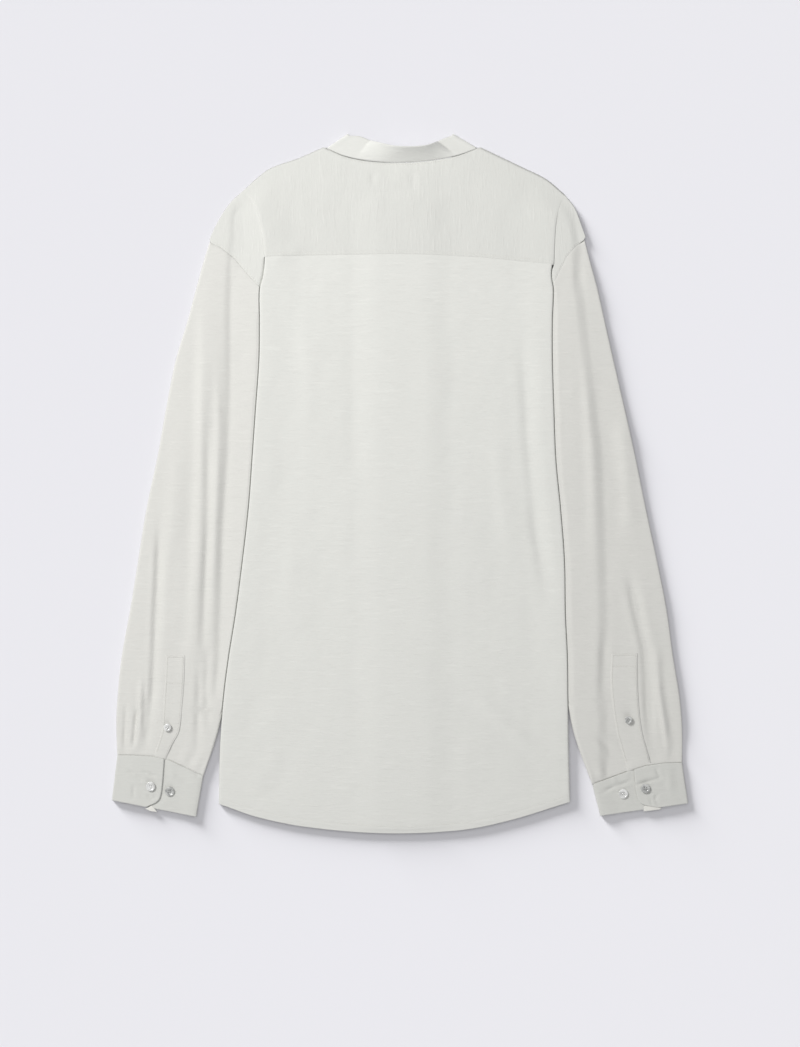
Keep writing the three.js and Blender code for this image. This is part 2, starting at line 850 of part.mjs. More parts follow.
function makeFrontPlacket() {
  const half = PLACKET_HALF / SQUARE;
  const cols = [MID_COL - half, MID_COL, MID_COL + half];
  const lines = 10;
  const grid = [];
  for (let j = 0; j <= lines; j += 1) {
    const line = cols.map((col) => {
      const row = mix(read(FRONT_HEM, "col", "row", col), 235.9, j / lines);
      return point(col, row, PLACKET_MID);
    });
    grid.push(line);
  }
  add("front_placket", wall([grid], WALL), OFF_WHITE);
}

// Collar band: its two front parts lie flat, it folds at both sides of the neck and
// stands up across the back.
function makeCollar() {
  const backCols = 15;
  const rows = 4;
  const neckRadius = (CONTOUR_TOP - GROUND) / 2;
  const tipRadius = 2.6;
  const tipInset = (tipRadius + BAND_WALL / 2) / SQUARE;
  const part = {};
  for (const side of ["left", "right"]) {
    const sign = sideSign[side];
    const away = NECK_CORNER[side];
    const s = SHOULDER[side];
    const tip = side === "left" ? COLLAR_TOP[0] : COLLAR_TOP[COLLAR_TOP.length - 1];
    const foot = [s.neck[0] - away[0] * CONTOUR_INSET + sign * 0.3, s.neck[1] + away[1] * CONTOUR_INSET];
    const head = [tip[0] - away[0] * tipInset, tip[1] + away[1] * tipInset];
    const bandMid = (side === "left" ? PLACKET_MID : RIGHT_FRONT_MID + 0.2) + 0.1;
    const height = (col) => mix(BAND_GROUND, bandMid, rise(col));
    const seam = [foot, s.frontNeck, ...FRONT_NECK[side]];
    const edge = [head, ...COLLAR_FRONT_TOP[side]];
    part[side] = {
      foot,
      head,
      seam: seam.map(([col, row]) => point(col, row, height(col))),
      edge: edge.map(([col, row]) => point(col, row, height(col))),
      footRoll: rollPoints(point(...foot, 0), away, neckRadius, BAND_GROUND + neckRadius, 4),
      headRoll: rollPoints(point(...head, 0), away, tipRadius, BAND_GROUND + tipRadius, 4),
    };
  }
  const { left, right } = part;
  const clear = COLLAR_CLEAR / SQUARE;
  const neck = BACK_NECK.slice(1, -1).map(([col, row]) => [col, row - clear]);
  const seam = along([left.foot, ...neck, right.foot], backCols);
  const edge = along([left.head, ...COLLAR_TOP.slice(1, -1), right.head], backCols);
  const lowest = BAND_GROUND + 2 * neckRadius;
  const tipTop = BAND_GROUND + 2 * tipRadius;
  const backSeam = seam.map(([col, row], i) => {
    const u = i / (backCols - 1);
    const z = mix(lowest, yokeTop(col, row + clear) + 0.1, smooth(Math.min(u, 1 - u) * 6));
    return point(col, row, z);
  });
  const backEdge = edge.map(([col, row], i) => {
    const low = backSeam[i];
    const [x, y] = point(col, row, 0);
    const flat = Math.hypot(x - low[0], y - low[1]);
    const lift = Math.sqrt(Math.max((tipTop - lowest) ** 2, COLLAR_HEIGHT ** 2 - flat ** 2));
    return [x, y, low[2] + lift];
  });
  const lows = [
    ...left.seam.slice(1).reverse(),
    ...left.footRoll.slice().reverse(),
    ...backSeam.slice(1, -1),
    ...right.footRoll,
    ...right.seam.slice(1),
  ];
  const highs = [
    ...left.edge.slice(1).reverse(),
    ...left.headRoll.slice().reverse(),
    ...backEdge.slice(1, -1),
    ...right.headRoll,
    ...right.edge.slice(1),
  ];
  const grid = [];
  for (let j = 0; j < rows; j += 1) {
    const v = j / (rows - 1);
    grid.push(lows.map((low, i) => low.map((c, k) => mix(c, highs[i][k], v))));
  }
  add("collar", wall([grid], BAND_WALL), OFF_WHITE);
}

// Places along a straight or bent station, with the length in millimetres.
function station(line) {
  const size = line.slice(1).reduce((sum, p, i) => sum + Math.hypot(p[0] - line[i][0], p[1] - line[i][1]), 0);
  const at = (q) => {
    const f = Math.min(1, Math.max(0, q)) * (line.length - 1);
    const i = Math.min(line.length - 2, Math.floor(f));
    return [mix(line[i][0], line[i + 1][0], f - i), mix(line[i][1], line[i + 1][1], f - i)];
  };
  const n = line.length;
  const outDir = unit(line[0][0] - line[1][0], line[1][1] - line[0][1]);
  const inDir = unit(line[n - 1][0] - line[n - 2][0], line[n - 2][1] - line[n - 1][1]);
  return { at, size: size * SQUARE, outDir, inDir };
}

function makeSleeve(side) {
  const sign = sideSign[side];
  const s = SHOULDER[side];
  const away = outwards(s.armhole, sign);
  const first = s.armhole.map(([col, row], i) => {
    return [col + away[i][0] * SEAM_HALF, row - away[i][1] * SEAM_HALF];
  });
  const last = CUFF_SEAM[side].map(([col, row]) => [col, row - SEAM_HALF]);
  const start = station(first);
  const bend = (q) => {
    const [col, row] = start.at(q);
    return [col - mix(first[0][0], first[5][0], q), row - mix(first[0][1], first[5][1], q)];
  };
  const stations = [start];
  SLEEVE[side].forEach(({ outer, inner }, i) => {
    const straight = station([outer, inner]);
    const share = [0.65, 0.3][i] || 0;
    const at = (q) => {
      const p = straight.at(q);
      const b = bend(q);
      return [p[0] + b[0] * share, p[1] + b[1] * share];
    };
    stations.push({ ...straight, at });
  });
  stations.push(station(last));
  const across = 15;
  const grid = stations.map(({ at, size, outDir, inDir }, i) => {
    const edgeHeight = (q) => sleeveTop(side, ...at(q));
    const outRadius = (edgeHeight(2 / size) - GROUND) / 2;
    const inRadius = (edgeHeight(1 - 1 / size) - GROUND) / 2;
    const from = (outRadius + WALL / 2) / size;
    const to = 1 - (inRadius + WALL / 2 + (i === 0 ? GAP : 0)) / size;
    const top = [];
    for (let k = 0; k <= across; k += 1) {
      const [col, row] = at(k === 0 ? from : k === across ? to : k / across);
      top.push(point(col, row, sleeveTop(side, col, row)));
    }
    top[0][2] = GROUND + 2 * outRadius;
    top[across][2] = GROUND + 2 * inRadius;
    const outward = i === 0 ? ARMHOLE_CORNER[side] : outDir;
    const innerRoll = rollPoints(top[across], inDir, inRadius, GROUND + inRadius, 4, 1);
    const outerRoll = rollPoints(top[0], outward, outRadius, GROUND + outRadius, 4, 1);
    const under = [0.8, 0.6, 0.4, 0.2].map((q) => point(...at(q), GROUND));
    return [...top, ...innerRoll, ...under, ...outerRoll.reverse(), top[0]];
  });
  add(`sleeve_${side}`, wall([grid], WALL), OFF_WHITE);
}

const LAP_LOW = BAND_GROUND + BAND_WALL + GAP;
const LAP_HIGH = LAP_LOW + BAND_WALL + GAP;
const CUFF_SIDE = 3.2;
const lowerLap = (q) => mix(LAP_LOW, CUFF_SIDE, smooth((q - 0.75) / 0.18));
const upperLap = (q) => mix(CUFF_SIDE, LAP_HIGH, smooth((q - 0.04) / 0.15));

// Cuff: a band round the wrist whose outer end laps over its inner end.
function makeCuff(side) {
  const seam = CUFF_SEAM[side].map(([col, row]) => [col, row + SEAM_HALF]);
  const stations = [{ ...station(seam), lap: CUFF_SEAM_LAP }];
  for (const { outer, inner, lap } of CUFF[side]) {
    stations.push({ ...station([outer, inner]), lap });
  }
  const radius = (CUFF_SIDE - BAND_GROUND) / 2;
  const grid = stations.map(({ at, size, outDir, inDir, lap }) => {
    const from = (radius + BAND_WALL / 2) / size;
    const to = 1 - from;
    const low = [];
    for (let k = UNDER_LAP_STEP; k <= 15; k += 1) {
      const q = k === 15 ? to : k / 15;
      low.push(point(...at(q), lowerLap(q)));
    }
    low[11][2] = CUFF_SIDE;
    const high = [];
    for (let k = 0; k <= 8; k += 1) {
      const q = k === 0 ? from : (lap * k) / 8;
      high.push(point(...at(q), upperLap(q)));
    }
    high[0][2] = CUFF_SIDE;
    const innerRoll = rollPoints(low[11], inDir, radius, BAND_GROUND + radius, 4, 1);
    const outerRoll = rollPoints(high[0], outDir, radius, BAND_GROUND + radius, 4, 1);
    const under = [0.8, 0.6, 0.4, 0.2].map((q) => point(...at(q), BAND_GROUND));
    return [...low, ...innerRoll, ...under, ...outerRoll.reverse(), ...high];
  });
  add(`cuff_${side}`, wall([grid], BAND_WALL), OFF_WHITE);
}

function sleevePlacketTop(side, col, row) {
  const near = [-6, 0, 6].flatMap((dc) => [-12, 0, 12].map((dr) => sleeveTop(side, col + dc, row + dr)));
  return Math.max(...near) + LAYER;
}

function makeSleevePlacket(side) {
  const table = SLEEVE_PLACKET[side];
  const lines = 10;
  const grid = [];
  for (let j = 0; j <= lines; j += 1) {
    const row = mix(table[0].row, table[table.length - 1].row, j / lines);
    const left = read(table, "row", "left", row);
    const right = read(table, "row", "right", row);
    const line = [];
    for (let i = 0; i <= 3; i += 1) {
      const col = mix(left, right, i / 3);
      line.push(point(col, row, sleevePlacketTop(side, col, row)));
    }
    grid.push(line);
  }
  add(`sleeve_placket_${side}`, wall([grid], WALL), OFF_WHITE);
}

function makeButton(name, place, z, { radius, thick }, dished) {
  const rim = dished
    ? [[radius * 0.72, thick], [radius * 0.58, thick - 0.5], [0, thick - 0.5]]
    : [[0, thick]];
  const side = [[radius - 0.5, 0], [radius, 0.5], [radius, thick - 0.5], [radius - 0.5, thick]];
  const profile = [[0, 0], ...side, ...rim];
  const shape = new THREE.LatheGeometry(profile.map(([x, y]) => new THREE.Vector2(x, y)), 18);
  shape.rotateX(Math.PI / 2);
  const [x, y] = point(place[0], place[1], 0);
  shape.translate(x, y, z);
  add(name, shape, BUTTON_PEARL, 0.35);
}

makeBack();
makeYoke();
makeFront("left");
makeFront("right");
makeFrontPlacket();
makeCollar();
for (const side of ["left", "right"]) {
  makeSleeve(side);
  makeCuff(side);
  makeSleevePlacket(side);
  const [outer, inner] = CUFF_BUTTONS[side];
  const over = BAND_WALL / 2 + GAP;
  makeButton(`cuff_button_${side}`, outer, LAP_HIGH + over, BUTTON.cuff, true);
  makeButton(`cuff_button_spare_${side}`, inner, LAP_LOW + over, BUTTON.cuff, true);
  const place = PLACKET_BUTTONS[side];
  const seat = sleevePlacketTop(side, ...place) + WALL / 2 + GAP;
  makeButton(`sleeve_button_${side}`, place, seat, BUTTON.sleeve, true);
}
FRONT_BUTTON_ROWS.forEach((row, i) => {
  makeButton(`front_button_${i + 1}`, [MID_COL, row], 0, BUTTON.front, false);
});
makeButton("collar_button", [MID_COL, COLLAR_BUTTON_ROW], 0, BUTTON.front, false);

const box = new THREE.Box3().setFromObject(group);
group.position.set(-(box.min.x + box.max.x) / 2, -(box.min.y + box.max.y) / 2, -box.min.z);

export default group;
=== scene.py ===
import math

import bpy
import numpy as np
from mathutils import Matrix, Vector


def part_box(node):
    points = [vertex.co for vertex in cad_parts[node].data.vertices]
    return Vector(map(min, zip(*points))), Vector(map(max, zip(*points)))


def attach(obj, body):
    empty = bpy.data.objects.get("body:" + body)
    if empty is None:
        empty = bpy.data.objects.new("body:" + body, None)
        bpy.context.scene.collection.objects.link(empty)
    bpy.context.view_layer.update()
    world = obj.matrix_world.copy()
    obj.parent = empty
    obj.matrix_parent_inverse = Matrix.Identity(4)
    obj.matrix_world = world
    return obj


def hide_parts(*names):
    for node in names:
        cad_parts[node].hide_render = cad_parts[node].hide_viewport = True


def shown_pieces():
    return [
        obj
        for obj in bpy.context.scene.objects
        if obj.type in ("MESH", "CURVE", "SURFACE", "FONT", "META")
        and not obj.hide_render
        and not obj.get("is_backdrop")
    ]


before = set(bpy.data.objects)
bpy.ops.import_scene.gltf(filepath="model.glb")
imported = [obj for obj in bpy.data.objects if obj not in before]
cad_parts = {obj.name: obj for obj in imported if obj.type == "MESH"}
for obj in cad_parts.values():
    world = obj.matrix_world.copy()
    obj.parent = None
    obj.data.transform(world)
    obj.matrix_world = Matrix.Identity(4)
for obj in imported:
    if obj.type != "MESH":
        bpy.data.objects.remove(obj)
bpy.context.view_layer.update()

# Shirt with a band collar, laid face down. Places come from a squared sheet, as in the
# solids: columns to the right, rows down from the collar, one square is 1.13 mm.
# Sizes are millimetres here and become metres when a mesh is made.
SQUARE = 1.13
MID_COL = 402.0
MID_ROW = 483.0

GROUND = 0.5
BAND_GROUND = 0.6
CLOTH = 0.55
BAND = 0.9

low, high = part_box("front_button_4")
SHIFT_X = 500.0 * (low[0] + high[0])
SHIFT_Y = 500.0 * (low[1] + high[1]) - (MID_ROW - 490.0) * SQUARE

BODY_EDGE = np.array([
    (192, 245, 565), (203, 254, 560), (222, 261, 555.5), (246, 265, 553.5), (258, 265, 553),
    (275, 263.5, 551), (290, 260, 553), (320, 260, 552), (360, 259.5, 552), (410, 256, 553.5),
    (460, 252.5, 555.5), (507, 249, 560), (560, 243, 564), (614, 236, 565), (658, 229, 567),
    (698, 224, 567.5), (750, 220, 568.5), (804, 219, 570), (835, 219, 571),
], float)
YOKE_SEAM = np.array([
    (240, 258), (265, 257.5), (300, 256.5), (350, 255.5), (404, 255), (470, 257.5),
    (510, 261), (546, 264.5), (580, 266),
], float)
BACK_HEM = np.array([
    (200, 798), (219, 804), (257, 817), (308, 827), (384, 833), (460, 830), (511, 820),
    (570, 802), (590, 796),
], float)
FRONT_HEM = np.array([
    (244, 804), (270, 811), (308, 818), (384, 824), (460, 821), (511, 811), (545, 802),
], float)
SHOULDER = {
    "left": {
        "neck": (327, 148),
        "contour": [(327, 148), (300, 160), (272, 170), (258, 180), (245, 192)],
        "drop": [(245, 192), (232, 204), (220, 222), (210, 243)],
        "fold": [(265, 257.3), (265, 246), (261, 222), (254, 203), (245, 192)],
        "armhole": [(210, 243), (220, 247), (234, 258), (248, 275), (259, 287), (268, 294)],
        "front_neck": (331, 178),
        "seam_inner": 335.0,
    },
    "right": {
        "neck": (477, 148),
        "contour": [(477, 148), (500, 159), (523, 170), (545, 181), (563, 196)],
        "drop": [(563, 196), (573, 209), (580, 227), (584.5, 240)],
        "fold": [(553, 265), (553.6, 248), (555, 226), (558.5, 208), (563, 196)],
        "armhole": [(584.5, 240), (576, 246), (567, 256), (560, 270), (553, 284), (544, 294)],
        "front_neck": (473, 178),
        "seam_inner": 470.0,
    },
}
BACK_NECK = [(327, 148), (345, 157), (370, 162), (397, 163.5), (425, 162), (455, 157), (477, 148)]
COLLAR_TOP = [(348, 134), (360, 137), (375, 143), (397, 149), (425, 148), (442, 140), (453, 134)]
FRONT_NECK = {
    "left": [(340, 205), (358, 226), (380, 234), (402, 235.5), (415, 235.5)],
    "right": [(464, 205), (446, 226), (424, 234), (402, 235.5), (389, 235.5)],
}
COLLAR_FRONT_TOP = {
    "left": [(352, 157), (359, 180), (369, 198), (384, 209), (402, 212.5), (415, 212.5)],
    "right": [(451, 157), (445, 180), (435, 198), (420, 209), (402, 212.5), (389, 212.5)],
}
SLEEVE = {
    "left": [
        (204, 262, 270, 303), (197, 287, 272, 318), (188, 320, 272, 340), (176, 360, 271, 372),
        (166, 410, 268, 416), (158, 455, 264, 462), (147, 507, 260, 512), (139, 556, 254, 562),
        (131, 606, 246, 612), (122, 656, 234, 663), (118, 694, 225, 702), (116.5, 724, 217, 736),
    ],
    "right": [
        (589, 258, 541, 303), (597, 287, 540, 318), (604.5, 320, 540, 340), (613.5, 360, 540, 372),
        (625, 410, 541, 416), (635, 455, 543, 462), (645.5, 507, 547.5, 512), (656, 556, 552, 562),
        (666, 606, 555, 612), (673, 656, 561, 664), (679.5, 697, 568, 706), (682, 727, 575, 738),
    ],
}
CUFF = {
    "left": [(114.6, 779, 199.8, 797), (113, 792, 197.8, 808.5), (112, 800, 196.5, 816.5)],
    "right": [(685, 783, 596, 800), (687, 796, 598.6, 809.5), (688, 803, 600, 815.5)],
}
# Share down the cuff, where the upper layer's end lies across it and where the lower one starts.
CUFF_LAP = {
    "left": np.array([
        (0, 0.535, 0.267), (0.5, 0.555, 0.267), (0.76, 0.55, 0.267), (0.87, 0.51, 0.3),
        (0.94, 0.455, 0.41), (0.97, 0.43, 0.47), (1, 0.405, 0.525),
    ], float),
    "right": np.array([
        (0, 0.535, 0.267), (0.45, 0.55, 0.267), (0.76, 0.545, 0.267), (0.87, 0.5, 0.3),
        (0.94, 0.42, 0.42), (0.97, 0.37, 0.46), (1, 0.33, 0.5),
    ], float),
}
CUFF_SEAM = {
    "left": [(117.5, 754.8), (135, 755), (153, 756), (170, 760), (187, 768), (203.5, 775.5)],
    "right": [(682, 762.3), (664, 762.8), (646, 765.3), (628, 771), (610, 777.7), (592, 784)],
}
PLACKET = {
    "left": np.array([
        (655, 166, 185.5), (680, 165, 184.8), (705, 163.5, 182.6), (731, 161.5, 179.5),
        (745, 157.5, 172), (754.4, 154, 168), (758.5, 152.8, 166.6),
    ], float),
    "right": np.array([
        (653, 611, 637.5), (680, 610, 637.6), (705, 612, 638.8), (731, 616, 642),
        (750, 621, 647), (762, 624.5, 650.5), (769, 626.3, 652.6),
    ], float),
}
CUFF_BUTTONS = {"left": [(151, 786), (170, 791)], "right": [(645, 788), (623, 793.5)]}
PLACKET_BUTTONS = {"left": (168, 727), "right": (628, 719.5)}
SIGN = {"left": 1.0, "right": -1.0}

# Folds: path on the sheet, rise in millimetres, half width in millimetres and lean. A fold
# that leans towards 1 falls gently on the left of its path and steeply on the right.
BACK_FOLDS = [
    ([(306, 300), (311, 385), (306, 470)], 0.8, 15),
    ([(354, 280), (352, 380), (357, 500)], -0.7, 13),
    ([(430, 280), (431, 380), (428, 500)], 0.6, 14),
    ([(392, 280), (390, 370), (394, 470)], 0.35, 14),
    ([(522, 320), (527, 429), (536, 531), (551, 625)], -1.8, 8, 0.25),
    ([(490, 380), (500, 480), (516, 590)], 0.7, 12, 0.3),
    ([(463, 688), (512, 730), (556, 770)], 1.1, 8),
    ([(293, 530), (290, 640)], 0.8, 19),
    ([(296, 750), (268, 806)], -0.9, 13),
    ([(373, 170), (372, 188)], -0.7, 4),
    ([(412, 170), (413, 194)], -0.7, 4),
    ([(262, 264), (285, 255), (312, 246)], 0.9, 7),
    ([(330, 640), (372, 700), (398, 742)], -0.5, 18),
    ([(470, 480), (462, 560), (470, 640)], 0.5, 22),
    ([(340, 520), (352, 600), (344, 690)], 0.5, 20),
]
SLEEVE_FOLDS = {
    "left": [
        ([(203, 268), (204, 330), (202, 430), (199, 520), (193, 640), (186, 700)], 1.7, 11, 0.45),
        ([(209, 380), (208, 470), (207, 540), (203, 640), (203, 690)], -1.5, 4.6),
        ([(217, 330), (219, 430), (215, 540), (211, 640)], 0.9, 4.4),
        ([(160, 505), (158, 568), (156, 606), (154, 657), (152, 700), (149, 750)], -2.2, 4.4, 0.35),
        ([(148, 690), (147, 720), (146, 752)], -0.9, 4.5),
        ([(209, 640), (206, 690), (209, 735)], -1.5, 4.2),
        ([(200, 650), (199, 700), (197, 760)], -1.3, 4.2),
        ([(249, 258), (254, 272), (257, 290)], -0.9, 3.0),
        ([(224, 246), (230, 264)], 0.5, 4.0),
        ([(239, 256), (242, 278)], -0.5, 3.0),
        ([(142, 672), (141.5, 700), (140.5, 738)], 1.3, 2.4, -0.2),
        ([(137.5, 706), (133, 750)], -1.5, 2.2),
        ([(126.5, 700), (124, 752)], -0.9, 2.2),
        ([(181, 420), (175, 500), (170, 590)], 0.7, 10),
    ],
    "right": [
        ([(575, 202), (576, 260), (577, 300)], -1.2, 5.0),
        ([(553, 250), (556, 268), (552, 304)], 1.2, 3.0),
        ([(584, 300), (588, 400), (592, 480), (594, 600)], 0.7, 8, 0.3),
        ([(620, 405), (627, 480), (630, 545)], 1.0, 9),
        ([(626, 560), (637, 614), (645, 650), (648, 700), (652, 762)], -2.1, 5.0),
        ([(655, 640), (658, 690), (665, 735), (670, 764)], 1.7, 3.6, 0.3),
        ([(604, 620), (602, 670), (600, 720)], -0.9, 5.0),
        ([(592, 735), (606, 745), (622, 762)], -0.8, 4.0),
    ],
}
# The bright facet of the left sleeve rises from this crease to the body's edge.
CREASE = [(236, 190), (237, 240), (233, 262), (231, 300), (231, 400), (228.5, 460), (223.5, 530), (221.5, 600),
          (219, 660), (214, 715), (208, 762)]
CREASE_DEEP = 2.4
CREASE_RISE = 1.6
# The right sleeve drops across this line, away from the body.
STEP = [(574, 190), (577, 275), (588, 380), (597, 450), (600, 520), (602, 600), (603, 690), (602, 735), (606, 790)]

RISE_FROM, RISE_OVER = 24.0, 34.0
LAYER = 1.35
TUCKED = GROUND + LAYER
UNDER_EDGE = TUCKED + LAYER
EDGE_TOP = 6.4
HEM_TOP = 3.3
FLANK = 3.9
PLACKET_MID = 3.0
RIGHT_FRONT_MID = PLACKET_MID + LAYER
CENTRE_TOP = RIGHT_FRONT_MID + LAYER + 0.05
OVER_COLLAR = 6.2
NECK_TOP = 4.4
CONTOUR_TOP = 3.4
SLEEVE_TOP = 4.8
SLEEVE_EDGE = 3.6
SIDE_TURN = 28.0
LAP_LOW = BAND_GROUND + 1.55
LAP_HIGH = LAP_LOW + 1.55
CUFF_SIDE = 3.2


def mix(a, b, t):
    return a + (b - a) * t


def smooth(t):
    s = np.clip(t, 0.0, 1.0)
    return s * s * (3 - 2 * s)


def read(table, at, k=1):
    """Value of column k of a table at a value of its first column, with soft bends."""
    x = table[:, 0]
    y = table[:, k]
    at = np.clip(np.asarray(at, float), x[0], x[-1])
    i = np.clip(np.searchsorted(x, at, side="right") - 1, 0, len(x) - 2)
    lo = np.maximum(np.arange(len(x)) - 1, 0)
    hi = np.minimum(np.arange(len(x)) + 1, len(x) - 1)
    slope = (y[hi] - y[lo]) / (x[hi] - x[lo])
    span = x[i + 1] - x[i]
    t = (at - x[i]) / span
    return (
        (2 * t**3 - 3 * t**2 + 1) * y[i]
        + (t**3 - 2 * t**2 + t) * span * slope[i]
        + (3 * t**2 - 2 * t**3) * y[i + 1]
        + (t**3 - t**2) * span * slope[i + 1]
    )


def along(points, parts):
    """Places at given shares of a bent line; a whole number of parts spaces them evenly."""
    p = np.asarray(points, float)
    if isinstance(parts, int):
        parts = np.linspace(0, 1, parts)
    run = np.concatenate([[0], np.cumsum(np.hypot(*np.diff(p[:, :2], axis=0).T))])
    at = np.asarray(parts) * run[-1]
    cols = [read(np.column_stack([run, p[:, k]]), at) for k in range(p.shape[1])]
    return np.column_stack(cols)


def nearest(path, col, row):
    """Millimetres from places to a bent line, the share of it reached there, and the side."""
    p = np.asarray(path, float)
    best = np.full(np.shape(col), 1e9)
    part = np.zeros(np.shape(col))
    side = np.ones(np.shape(col))
    steps = np.hypot(*np.diff(p, axis=0).T)
    run = np.concatenate([[0], np.cumsum(steps)]) / steps.sum()
    for i in range(1, len(p)):
        ax, ay = p[i - 1]
        dx, dy = p[i] - p[i - 1]
        t = np.clip(((col - ax) * dx + (row - ay) * dy) / (dx * dx + dy * dy), 0, 1)
        away = np.hypot(col - ax - dx * t, row - ay - dy * t) * SQUARE
        closer = away < best
        best = np.where(closer, away, best)
        part = np.where(closer, run[i - 1] + t * (run[i] - run[i - 1]), part)
        side = np.where(closer, np.sign((col - ax) * dy - (row - ay) * dx), side)
    return best, part, side


def lifted(folds, col, row):
    """Soft folds that fade at both ends and are steeper on the side that skew names."""
    z = 0.0
    for k, (path, lift, reach, *skew) in enumerate(folds):
        away, part, side = nearest(path, col, row)
        lean = skew[0] if skew else 0.12
        uneven = 1 + 0.2 * np.sin(9.0 * part + 1.7 * k) + 0.12 * np.sin(23.0 * part + k)
        ends = smooth(part / 0.3) * smooth((1 - part) / 0.3)
        wide = reach * (1 + lean * side) * (1.2 - 0.25 * ends)
        body = np.exp(-((away / wide) ** 2))
        beside = np.exp(-(((away - 1.9 * wide) / (1.1 * wide)) ** 2)) * 0.22 * (1 - abs(lean))
        z = z + lift * uneven * ends * (body - beside)
    return z


def fill(bottom, top, left, right, parts=None):
    bottom, top, left, right = (np.asarray(x, float) for x in (bottom, top, left, right))
    u = np.linspace(0, 1, len(bottom))[None, :, None]
    v = (np.linspace(0, 1, len(left)) if parts is None else parts)[:, None, None]
    edges = mix(bottom[None], top[None], v) + mix(left[:, None], right[:, None], u)
    corners = mix(mix(bottom[0], bottom[-1], u), mix(top[0], top[-1], u), v)
    return edges - corners


def fan(start, end, inner):
    start, end, inner = (np.asarray(x, float) for x in (start, end, inner))
    v = np.linspace(0, 1, len(inner))[:, None, None]
    u = (np.linspace(0, 1, len(start)) ** 2)[None, :, None]
    return mix(start[None], end[None], v) + u * (inner[:, None] - mix(inner[0], inner[-1], v))


def place(col, row, z):
    col, row, z = np.broadcast_arrays(col, row, z)
    return np.stack([(col - MID_COL) * SQUARE, (MID_ROW - row) * SQUARE, z], axis=-1).astype(float)


def raise_to(grid, height):
    return place(grid[..., 0], grid[..., 1], height(grid[..., 0], grid[..., 1]))


# Small, smooth unevenness of the cloth, the same on every run.
WAVES = []
_rng = np.random.default_rng(11)
for _ in range(26):
    size = _rng.uniform(14, 60)
    turn = _rng.uniform(0, math.tau)
    WAVES.append((math.tau / size * math.cos(turn), math.tau / size * math.sin(turn), _rng.uniform(0, math.tau), size))


def ripple(x, y, amount=1.0):
    z = 0.0
    for a, b, c, size in WAVES:
        z = z + size * np.sin(a * x + b * y + c)
    return amount * 0.0009 * z


def left_edge(row):
    return read(BODY_EDGE, row, 1)


def right_edge(row):
    return read(BODY_EDGE, row, 2)


def rise(col):
    return 1 - smooth((np.abs(col - MID_COL) * SQUARE - RISE_FROM) / RISE_OVER)


def edge_top(row):
    return mix(EDGE_TOP, HEM_TOP + 1.6, smooth((row - 690) / 90))


def under_top(row):
    return mix(UNDER_EDGE, GROUND, smooth((row - 700) / 70))


def body_top(col, row):
    inside = np.minimum(col - left_edge(row), right_edge(row) - col) * SQUARE
    side = mix(edge_top(row), FLANK, smooth(inside / 45))
    over = smooth((row - 190) / 18) * (1 - smooth((row - 245) / 10))
    middle = mix(mix(NECK_TOP, CENTRE_TOP, smooth((row - 190) / 18)), OVER_COLLAR, over)
    base = mix(side, middle, rise(col))
    calm = smooth((inside - 3) / 12) * (1 - 0.55 * rise(col) * (row > 205))
    z = base + (lifted(BACK_FOLDS, col, row) + ripple(col * SQUARE, row * SQUARE, 1.0)) * calm
    seam = (row - read(YOKE_SEAM, col)) * SQUARE
    z = z + 0.22 * np.exp(-(((seam + 1.9) / 1.3) ** 2)) - 0.12 * np.exp(-(((seam - 1.2) / 1.3) ** 2))
    above = (read(BACK_HEM, col) - row) * SQUARE
    z = z - 0.25 * np.exp(-(((above - 8.5) / 1.4) ** 2)) + 0.2 * np.exp(-(((above - 4.5) / 2.6) ** 2))
    return mix(HEM_TOP, z, smooth(above / 9))


def yoke_top(col, row):
    left = nearest(SHOULDER["left"]["contour"], col, row)[0]
    right = nearest(SHOULDER["right"]["contour"], col, row)[0]
    return mix(CONTOUR_TOP, body_top(col, row), smooth(np.minimum(left, right) / 28))


def outside(side, col, row):
    return (left_edge(row) - col) * SQUARE if side == "left" else (col - right_edge(row)) * SQUARE


def facet(side, col, row):
    """Extra height between the crease beside the body and the body's edge."""
    if side == "right":
        off, _, hand = nearest(STEP, col, row)
        return 3.2 * smooth((7 - hand * off) / 14) - 1.1
    away, _, hand = nearest(CREASE, col, row)
    gap = np.maximum(away + np.maximum(outside(side, col, row), 0), 4.0)
    ends = smooth((715 - row) / 40)
    outer = -CREASE_DEEP * np.exp(-((away / 5.0) ** 2))
    inner = mix(-CREASE_DEEP, CREASE_RISE, np.clip(away / gap, 0, 1))
    return np.where(hand * SIGN[side] > 0, inner, outer) * ends


def cuff_low(q):
    return mix(LAP_LOW, CUFF_SIDE, smooth((q - 0.75) / 0.18)) + 0.5


def cuff_high(q):
    return mix(CUFF_SIDE, LAP_HIGH, smooth((q - 0.04) / 0.15))


def sleeve_top(side, col, row):
    out = outside(side, col, row)
    open_ = smooth((out + 0.05) / 1.5)
    drop = smooth(nearest(SHOULDER[side]["armhole"], col, row)[0] / 40)
    fold = 1.5 * lifted(SLEEVE_FOLDS[side], col, row) + ripple(col * SQUARE, row * SQUARE, 0.9)
    free = SLEEVE_EDGE + (SLEEVE_TOP - SLEEVE_EDGE + fold) * drop + facet(side, col, row)
    seam, part, _ = nearest(CUFF_SEAM[side], col, row)
    pleats = 0.5 * np.sin(part * 31.0 + 2.2 * np.sin(part * 7.0)) * np.exp(-((seam - 6) / 13) ** 2)
    band = np.where(part < 0.5, cuff_high(part), mix(cuff_high(part), cuff_low(part), smooth((part - 0.5) / 0.06)))
    free = free - (SLEEVE_TOP - band + 0.35) * (1 - smooth(seam / 60))
    free = mix(band - 0.35, np.maximum(free + pleats, 1.9), smooth(seam / 8))
    free = np.minimum(free, mix(5.5, 30.0, smooth((out - 0.5) / 40)))
    return mix(TUCKED, np.maximum(TUCKED + 0.1, free), open_)


